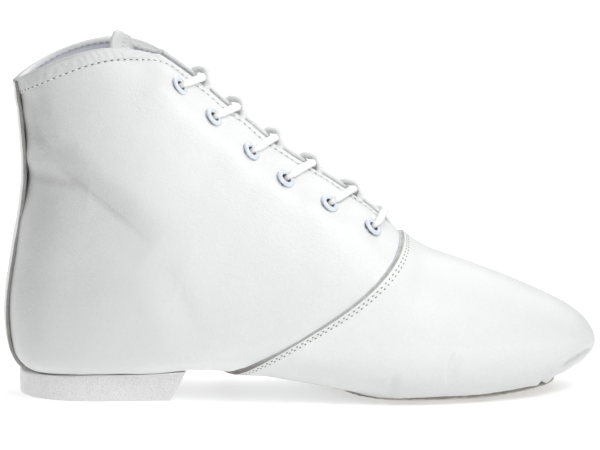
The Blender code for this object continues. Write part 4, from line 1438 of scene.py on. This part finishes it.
class BOOT_OT_tongue(BootOperator):
    """Make the tongue, from beneath the vamp to a square end that stands up above the collar"""

    bl_idname = "boot.tongue"
    bl_label = "Tongue"

    LINES, COLUMNS = 170, 59

    def execute(self, context):
        tone = scaled(context.scene.boot_colours.leather, 0.97)
        rows = np.linspace(TONGUE_ROWS[0], TONGUE_LAST_ROW, self.LINES)
        bm = lattice(*tongue_sheet(rows, np.linspace(-1.0, 1.0, self.COLUMNS)))
        leather = leather_finish("tongue_leather", tone, grain=0.0007, depth=0.00020)
        piece_from("tongue_sheet", bm, [leather], ["tongue"], wall=TONGUE_THICKNESS)
        return {"FINISHED"}


class BOOT_OT_back_strip(BootOperator):
    """Make the strip up the back, over the seam that joins the quarters"""

    bl_idname = "boot.back_strip"
    bl_label = "Back strip"

    LINES, COLUMNS = 180, 22
    LAST_ROW = COLLAR_ROW - 0.02
    BAND_STEP = 0.0005

    def ends(self, row, side):
        """The turns of the back line, where the strip's halves meet, and of its edge on one side."""
        share = share_between(row, STAY_ROWS[0], self.LAST_ROW)
        reach = STAY_HALF_LOW + (STAY_HALF_TOP - STAY_HALF_LOW) * share
        return 1.0, turn_from(1.0, row, side, reach)

    def execute(self, context):
        colours = context.scene.boot_colours
        rows = even_rows(STAY_ROWS[0], self.LAST_ROW, self.LINES, turn=0.98)
        turns, sides = across_lines(rows, self.ends, self.COLUMNS)
        row_grid, bare, normals = laid(rows, turns, sides)
        on_band = smooth(share_between(row_grid, STAY_ROWS[1] - 0.15, STAY_ROWS[1] + 0.05))
        height = WALL + SEAT_GAP + STAY_THICKNESS + self.BAND_STEP * on_band + wavy(bare, STAY_WAVES)
        bm = lattice(lifted(bare, normals, height), normals)
        leather = leather_finish("back_strip_leather", scaled(colours.leather, 0.98))
        raw = raw_edge_finish("back_strip_raw_edge", scaled(colours.raw_edge, 0.92))
        piece_from(
            "back_strip", bm, [leather, raw], ["back_stay"],
            wall=STAY_THICKNESS + 0.5 * SEAT_GAP, rim=1,
        )
        return {"FINISHED"}


def spun_ring(profile, place, segments):
    """A closed profile of radius and height, spun into a ring whose bore is painted dark as shade, and put
    in its place.
    """
    bm = bmesh.new()
    spots = [bm.verts.new((radius, 0.0, height)) for radius, height in profile]
    edges = [bm.edges.new(pair) for pair in zip(spots, spots[1:] + spots[:1])]
    bmesh.ops.spin(
        bm, geom=spots + edges, cent=(0.0, 0.0, 0.0), axis=(0.0, 0.0, 1.0), angle=math.tau,
        steps=segments, use_merge=True,
    )
    bmesh.ops.remove_doubles(bm, verts=bm.verts, dist=MERGE_DISTANCE)
    bmesh.ops.recalc_face_normals(bm, faces=bm.faces)
    # Painted shade: the faces of the bore take the dark second material
    for face in bm.faces:
        middle = face.calc_center_median()
        if math.hypot(middle.x, middle.y) < EYELET_BORE_RADIUS + 0.0002:
            face.material_index = 1
    bmesh.ops.transform(bm, matrix=place, verts=bm.verts)
    return bm


class BOOT_OT_eyelets(BootOperator):
    """Make the twelve rolled eyelets"""

    bl_idname = "boot.eyelets"
    bl_label = "Eyelets"

    SEGMENTS = 40
    DOME_POINTS = 11
    DOME_RISE = 0.0003

    def profile(self):
        """The rolled section: up the bore, over the dome of the flange and down to the leather."""
        high = SEAT_GAP + EYELET_FLANGE_HEIGHT + self.DOME_RISE
        spots = [(EYELET_BORE_RADIUS + 0.0001, -WALL - SEAT_GAP), (EYELET_BORE_RADIUS, 0.2 * high)]
        middle = 0.5 * (EYELET_BORE_RADIUS + EYELET_FLANGE_RADIUS)
        half = 0.5 * (EYELET_FLANGE_RADIUS - EYELET_BORE_RADIUS)
        for angle in np.linspace(math.pi * 0.92, 0.0, self.DOME_POINTS):
            dome = 0.1 + 0.9 * math.sin(angle) ** 0.8
            spots.append((middle + half * math.cos(angle), high * dome))
        spots.append((EYELET_FLANGE_RADIUS - 0.0003, 0.0))
        spots.append((EYELET_BARREL_RADIUS, 0.0))
        spots.append((EYELET_BARREL_RADIUS, -WALL - SEAT_GAP))
        return spots

    def execute(self, context):
        # The second finish paints the shade inside each eyelet's bore
        finishes = [
            enamel_finish("eyelet_enamel", context.scene.boot_colours.enamel),
            hole_shade_finish("eyelet_bore_shade"),
        ]
        for side, label in SIDES.items():
            for number, eyelet in enumerate(EYELETS, 1):
                middle, along, _, out = eyelet_frame(eyelet, side)
                across = np.cross(out, along)
                turned = Matrix((along, across, out)).transposed().to_4x4()
                place = Matrix.Translation(Vector(middle)) @ turned
                bm = spun_ring(self.profile(), place, self.SEGMENTS)
                name = f"{label}_{number}"
                piece_from(f"eyelet_ring_{name}", bm, finishes, [f"eyelet_{name}"])
        return {"FINISHED"}


def over_throat(row, side, inset, lift):
    """A lace's middle above the leather, this far from the throat edge, the way up and a full width."""
    distance = max(float(throat_half(row)) + inset, 0.0)
    turn = turn_from(0.0, row, side, distance)
    point = skin(row, turn, side, WALL + LACE_RADIUS + lift)
    return (*point, *skin_normal(row, turn, side), 1.0)


class BOOT_OT_lace(BootOperator):
    """Run the lace through the eyelets: a bar across the lowest pair and crossings above it"""

    bl_idname = "boot.lace"
    bl_label = "Lace"

    ROUND = 16
    # Steps up through an eyelet: height off the leather, way to the throat and share of the full width
    RISE = (
        (-0.0060, 0.0006, 0.72),
        (-0.0026, 0.0007, 0.70),
        (0.0002, 0.0012, 0.72),
        (0.0018, 0.0026, 0.86),
        (0.0022, 0.0052, 1.0),
    )
    # Steps over the throat: share of the way to the next eyelet, whether on the opposite side, distance
    # from the throat edge there, and lift of the lace's middle off the leather
    UNDER = (
        (0.22, False, 0.0040, 0.0002),
        (0.28, False, 0.0004, 0.0003),
        (0.33, False, -0.0050, 0.0000),
        (0.40, True, 0.0000, -0.0010),
        (0.47, True, 0.0030, -0.0044),
        (0.55, True, 0.0070, -0.0050),
    )
    OVER = (
        (0.08, False, 0.0040, 0.0004),
        (0.13, False, 0.0004, 0.0012),
        (0.20, False, -0.0050, 0.0024),
        (0.31, True, 0.0000, 0.0030),
        (0.42, True, 0.0014, 0.0014),
        (0.49, True, 0.0006, -0.0020),
        (0.55, True, 0.0030, -0.0046),
        (0.63, True, 0.0070, -0.0050),
    )
    # Steps of the bar: rows below the lowest eyelet, side, distance from the throat edge and lift
    BAR = (
        (0.05, OUTER, 0.0060, 0.0006),
        (0.08, OUTER, -0.0004, 0.0012),
        (0.08, INNER, -0.0004, 0.0012),
        (0.05, INNER, 0.0060, 0.0006),
    )
    PER_SPAN = 9

    def through_eyelet(self, eyelet, side, target):
        """From inside the boot up through an eyelet and over its rim straight towards a target."""
        middle, _, _, out = eyelet_frame(eyelet, side)
        lean = np.array(target[:3]) - middle
        lean = unit(lean - out * (lean @ out))
        return [(*(middle + out * up + lean * over), *out, width) for up, over, width in self.RISE]

    def tube(self, bm, route, sizes):
        """A flattened tube along a route of middles and the ways up, mapped round and along."""
        points, ups = route[:, :3], unit(route[:, 3:6])
        ahead = unit(np.gradient(points, axis=0))
        across = unit(np.cross(ahead, ups))
        ups = np.cross(across, ahead)
        angles = np.linspace(0.0, math.tau, self.ROUND + 1)
        ring = np.cos(angles)[None, :, None] * across[:, None] * sizes.lace_half_width
        ring = ring + np.sin(angles)[None, :, None] * ups[:, None] * sizes.lace_half_height
        part = lattice(points[:, None] + ring * route[:, 6, None, None])
        lengths = lengths_along(points)
        shares = np.linspace(0.0, 1.0, len(lengths))
        layer = part.loops.layers.uv.verify()
        for face in part.faces:
            for loop in face.loops:
                loop[layer].uv.y = np.interp(loop[layer].uv.y, shares, lengths)
        close_tube(part)
        strand = bpy.data.meshes.new("strand")
        part.to_mesh(strand)
        part.free()
        bm.from_mesh(strand)
        bpy.data.meshes.remove(strand)

    def crossing(self, eyelet, below, side):
        """One strand: out of an eyelet, over the throat and down under the opposite quarter's edge."""
        pitch = eyelet.row - below.row
        steps = self.OVER if side == INNER else self.UNDER
        over = []
        for share, opposite, inset, lift in steps:
            over.append(over_throat(eyelet.row - share * pitch, -side if opposite else side, inset, lift))
        return smooth_curve(self.through_eyelet(eyelet, side, over[1]) + over, self.PER_SPAN)

    def bar(self, eyelet):
        """The strand straight across the lowest pair of eyelets."""
        middle = [over_throat(eyelet.row - drop, *step) for drop, *step in self.BAR]
        near = self.through_eyelet(eyelet, OUTER, middle[1])
        far = self.through_eyelet(eyelet, INNER, middle[2])
        return smooth_curve(near + middle + far[::-1], self.PER_SPAN)

    def execute(self, context):
        sizes = context.scene.boot_sizes
        bm = bmesh.new()
        bm.loops.layers.uv.new("Sheet")
        for eyelet, below in zip(EYELETS, EYELETS[1:]):
            for side in SIDES:
                self.tube(bm, self.crossing(eyelet, below, side), sizes)
        self.tube(bm, self.bar(EYELETS[-1]), sizes)
        cotton = braid_finish("lace_cotton", context.scene.boot_colours.cotton, sizes.braid_strands)
        nodes = ["lace_bar"] + [f"lace_crossing_{number}" for number in range(1, len(EYELETS))]
        piece_from("lace", bm, [cotton], nodes)
        return {"FINISHED"}


class BOOT_OT_stitches(BootOperator):
    """Sew the seams: thread that dips into needle holes, whose shade is painted as flat dark patches"""

    bl_idname = "boot.stitches"
    bl_label = "Stitches"

    # Length of the flat dark patch of painted shade at a needle hole, as a share of the stitch: collar,
    # inside the collar, other seams
    COLLAR_MOUTH, INSIDE_MOUTH, SEAM_MOUTH = 0.25, 0.11, 0.22
    THREAD_SHARE = 0.34
    THREAD_SUNK = 0.35
    LIFT = 0.00005
    BAND_LIFT = 0.00008
    EDGE_SAMPLES = 1200
    EDGE_SMOOTHING = 91
    VAMP_ROWS_AHEAD = (0.0014, 0.0027)
    TONGUE_LINES_ACROSS = (-0.30, -0.44)
    TONGUE_FIRST_ROW = 16.0
    TONGUE_PITCH = 0.0016

    def sew(self, thread, holes, radius, points, ups, pitch, mouth):
        """Stitches of one pitch along a line on the leather, each hole's shade painted as a flat dark patch.
        """
        lengths = lengths_along(points)
        count = int(lengths[-1] / pitch)
        spots = np.linspace(0.0, lengths[-1], count + 1)
        marks, ways = (
            np.stack([np.interp(spots, lengths, line[:, axis]) for axis in range(3)], axis=-1)
            for line in (points, ups)
        )
        stretch = Matrix.Diagonal((self.THREAD_SHARE * pitch, radius, radius, 1.0))
        # A flat dark patch that carries the painted shade of a needle hole
        flat = Matrix.Diagonal((mouth * pitch, 1.05 * radius, 0.12 * radius, 1.0))
        for here, there, up in zip(marks, marks[1:], unit(ways)):
            ahead = unit(there - here)
            aside = unit(np.cross(up, ahead))
            up = np.cross(ahead, aside)
            turned = Matrix((ahead, aside, up)).transposed().to_4x4()
            middle = 0.5 * (here + there) - up * self.THREAD_SUNK * radius
            for bm, spot, shape in ((thread, middle, stretch), (holes, here, flat)):
                place = Matrix.Translation(Vector(spot)) @ turned @ shape
                bmesh.ops.create_icosphere(bm, subdivisions=1, radius=1.0, matrix=place)

    def edge_line(self, side, sizes):
        """Rows and turns a hem's width in from a quarter's free edge, and each one's share on the band."""
        rows, turns = quarter_edge(side)
        length = lengths_along(last_point(rows, turns, side))
        even = np.linspace(0.0, length[-1], self.EDGE_SAMPLES)
        rows, turns = np.interp(even, length, rows), np.interp(even, length, turns)
        points = last_point(rows, turns, side)
        ahead = unit(np.gradient(points, axis=0))
        inward = np.cross(skin_normal(rows, turns, side), ahead) * side
        corner = length[len(length) // 2]
        along_throat = smooth(share_between(even, corner - 0.016, corner + 0.020))
        hem = hem_width(even / corner)
        path = lifted(points, inward, hem + (sizes.throat_row - hem) * along_throat)
        forward = np.concatenate([[True], np.sum(np.diff(path, axis=0) * ahead[1:], axis=-1) > 0.0])
        path, rows, turns, along_throat = (line[forward] for line in (path, rows, turns, along_throat))
        margin = self.EDGE_SMOOTHING // 2
        padded = np.concatenate([path[:1]] * margin + [path] + [path[-1:]] * margin)
        path = np.stack([padded[i : i + len(path)] for i in range(self.EDGE_SMOOTHING)]).mean(axis=0)
        rows, turns = settled(path, rows, turns, side)
        return rows, turns, 1.0 - along_throat

    def collar_row(self, side, sizes):
        """The row outside the collar and down the throat."""
        rows, turns, on_band = self.edge_line(side, sizes)
        bare = last_point(rows, turns, side)
        height = quarter_height(bare, side, sizes.throat_row)
        band = WALL + SEAT_GAP + 0.15 * BINDING_THICKNESS
        ways = skin_normal(rows, turns, side)
        return lifted(bare, ways, height * (1.0 - on_band) + band * on_band + self.BAND_LIFT), ways

    def inside_row(self, side):
        """The row inside the collar, just below its fold."""
        turns = even_turns(COLLAR_ROW, side, 1.0, 0.06, 400)
        edge = rounded_rows(COLLAR_ROW, turns, side)
        rows = edge - 0.12 * HEM_BACK / row_speed(edge, turns, side)
        depth = SEAT_GAP + 0.92 * BINDING_THICKNESS
        return skin(rows, turns, side, -depth), -skin_normal(rows, turns, side)

    def vamp_row(self, side, ahead):
        """A row along the vamp's edge, this far ahead of it."""
        turns = even_turns(SEAM_ROW, side, 0.0, 0.96, 500)
        rows = SEAM_ROW - ahead / row_speed(SEAM_ROW, turns, side)
        height = vamp_height(rows, turns, np.full(rows.shape, side))
        return skin(rows, turns, side, height + self.LIFT), skin_normal(rows, turns, side)

    def tongue_row(self, across):
        """A row up the tongue's free end."""
        rows = np.linspace(self.TONGUE_FIRST_ROW, TONGUE_LAST_ROW - 0.05, 60)
        points, ways = (lines[:, 0] for lines in tongue_sheet(rows, np.array((across,))))
        return points + self.LIFT * ways, ways

    def seams(self, sizes):
        """Points of each row, the ways out of the leather, the stitch length and the share of a hole's
        painted shade.
        """
        for side in BOTH:
            yield *self.collar_row(side, sizes), sizes.collar_pitch, self.COLLAR_MOUTH
            yield *self.inside_row(side), sizes.collar_pitch, self.INSIDE_MOUTH
            for ahead in self.VAMP_ROWS_AHEAD:
                yield *self.vamp_row(side, ahead), sizes.vamp_pitch, self.SEAM_MOUTH
        for across in self.TONGUE_LINES_ACROSS:
            yield *self.tongue_row(across), self.TONGUE_PITCH, self.SEAM_MOUTH

    def execute(self, context):
        sizes = context.scene.boot_sizes
        thread, holes = bmesh.new(), bmesh.new()
        for seam in self.seams(sizes):
            self.sew(thread, holes, sizes.thread_radius, *seam)
        cotton = thread_finish("seam_thread", context.scene.boot_colours.cotton)
        piece_from("seam_thread", thread, [cotton], [])
        # The needle holes' shade is painted on flat dark patches
        piece_from("painted_hole_shades", holes, [hole_shade_finish("painted_hole_shade")], [])
        return {"FINISHED"}


class BOOT_OT_stage(BootOperator):
    """Set the plain floor, the soft studio light and the camera"""

    bl_idname = "boot.stage"
    bl_label = "Studio"

    ELEVATION = math.radians(9.5)
    DISTANCE = 1.4
    TARGET = Vector((-0.0002, 0.0, 0.0705))
    PICTURE_WIDTH = 0.2538
    FLOOR_SIZE = 12.0
    FLOOR_GREY = (0.86, 0.86, 0.86)
    FLOOR_GLOW = 0.36
    WHITE = (1.0, 1.0, 1.0)
    SKY_STRENGTH = 0.37
    # Soft boxes: name, place, what each one looks at, width, height and watts
    SOFT_BOXES = (
        ("key", (0.115, -0.199, 0.293), (0.0, 0.0, 0.10), 0.2, 0.2, 0.60),
        ("rim", (0.0, 0.75, 1.36), (0.0, 0.0, 0.06), 0.9, 0.9, 4.6),
        ("right_rim", (0.88, 0.74, 1.02), (0.0, 0.0, 0.06), 0.8, 0.8, 2.2),
        ("left_rim", (-0.94, 0.62, 0.58), (-0.05, 0.0, 0.07), 0.6, 0.6, 3.0),
        ("backdrop", (0.0, 1.9, 1.3), (0.0, 1.9, 0.0), 2.4, 1.2, 14.0),
    )

    def floor(self):
        """A wide sheet of white paper that glows a little, so that it runs out to plain white."""
        bm = bmesh.new()
        bmesh.ops.create_grid(bm, x_segments=4, y_segments=4, size=0.5 * self.FLOOR_SIZE)
        floor = object_from("floor", bm)
        paper = Finish("floor_paper").close(
            Base_Color=self.FLOOR_GREY,
            Roughness=1.0,
            Specular_IOR_Level=0.0,
            Emission_Color=self.WHITE,
            Emission_Strength=self.FLOOR_GLOW,
        )
        floor.data.materials.append(paper)

    def sky(self):
        """An even white light from all round."""
        world = bpy.data.worlds.new("studio")
        world.use_nodes = True
        light = world.node_tree.nodes["Background"]
        light.inputs["Color"].default_value = (*self.WHITE, 1.0)
        light.inputs["Strength"].default_value = self.SKY_STRENGTH
        bpy.context.scene.world = world

    def soft_box(self, name, place, aim, width, height, power):
        """A rectangular lamp that looks at a point."""
        data = bpy.data.lights.new(name, "AREA")
        data.shape = "RECTANGLE"
        data.size = width
        data.size_y = height
        data.energy = power
        lamp = bpy.data.objects.new(name, data)
        lamp.location = place
        lamp.rotation_euler = (Vector(aim) - Vector(place)).to_track_quat("-Z", "Y").to_euler()
        bpy.context.scene.collection.objects.link(lamp)

    def camera(self):
        """A long lens level with the outer side, tilted slightly down."""
        data = bpy.data.cameras.new("camera")
        data.sensor_width = 36.0
        data.lens = data.sensor_width * self.DISTANCE / self.PICTURE_WIDTH
        data.clip_end = 100.0
        camera = bpy.data.objects.new("camera", data)
        back = Vector((0.0, -math.cos(self.ELEVATION), math.sin(self.ELEVATION)))
        camera.location = self.TARGET + back * self.DISTANCE
        camera.rotation_euler = (0.5 * math.pi - self.ELEVATION, 0.0, 0.0)
        bpy.context.scene.collection.objects.link(camera)
        bpy.context.scene.camera = camera

    def execute(self, context):
        self.floor()
        self.sky()
        for soft_box in self.SOFT_BOXES:
            self.soft_box(*soft_box)
        self.camera()
        context.scene.view_settings.view_transform = "Standard"
        return {"FINISHED"}


class BOOT_PT_panel(bpy.types.Panel):
    """Lists the boot's operators and the sizes and colours that they use"""

    bl_idname = "BOOT_PT_panel"
    bl_label = "Jazz Boot"
    bl_space_type = "VIEW_3D"
    bl_region_type = "UI"
    bl_category = "Jazz Boot"

    def draw(self, context):
        for operator in OPERATORS:
            self.layout.operator(operator.bl_idname)
        for group in (context.scene.boot_sizes, context.scene.boot_colours):
            box = self.layout.box()
            for name in group.bl_rna.properties.keys():
                if name not in ("rna_type", "name"):
                    box.prop(group, name)


OPERATORS = (
    BOOT_OT_vamp,
    BOOT_OT_quarters,
    BOOT_OT_collar,
    BOOT_OT_back_strip,
    BOOT_OT_tongue,
    BOOT_OT_soles,
    BOOT_OT_eyelets,
    BOOT_OT_lace,
    BOOT_OT_stitches,
    BOOT_OT_stage,
)
CLASSES = (BootSizes, BootColours, *OPERATORS, BOOT_PT_panel)


def register():
    """Adds the classes and the scene's settings."""
    for cls in CLASSES:
        bpy.utils.register_class(cls)
    bpy.types.Scene.boot_sizes = PointerProperty(type=BootSizes)
    bpy.types.Scene.boot_colours = PointerProperty(type=BootColours)


def unregister():
    """Takes them away again."""
    del bpy.types.Scene.boot_colours
    del bpy.types.Scene.boot_sizes
    for cls in reversed(CLASSES):
        bpy.utils.unregister_class(cls)


def main():
    """Makes every piece and the studio."""
    register()
    bpy.ops.boot.vamp()
    bpy.ops.boot.quarters()
    bpy.ops.boot.collar()
    bpy.ops.boot.back_strip()
    bpy.ops.boot.tongue()
    bpy.ops.boot.soles()
    bpy.ops.boot.eyelets()
    bpy.ops.boot.lace()
    bpy.ops.boot.stitches()
    bpy.ops.boot.stage()


if __name__ == "__main__":
    main()
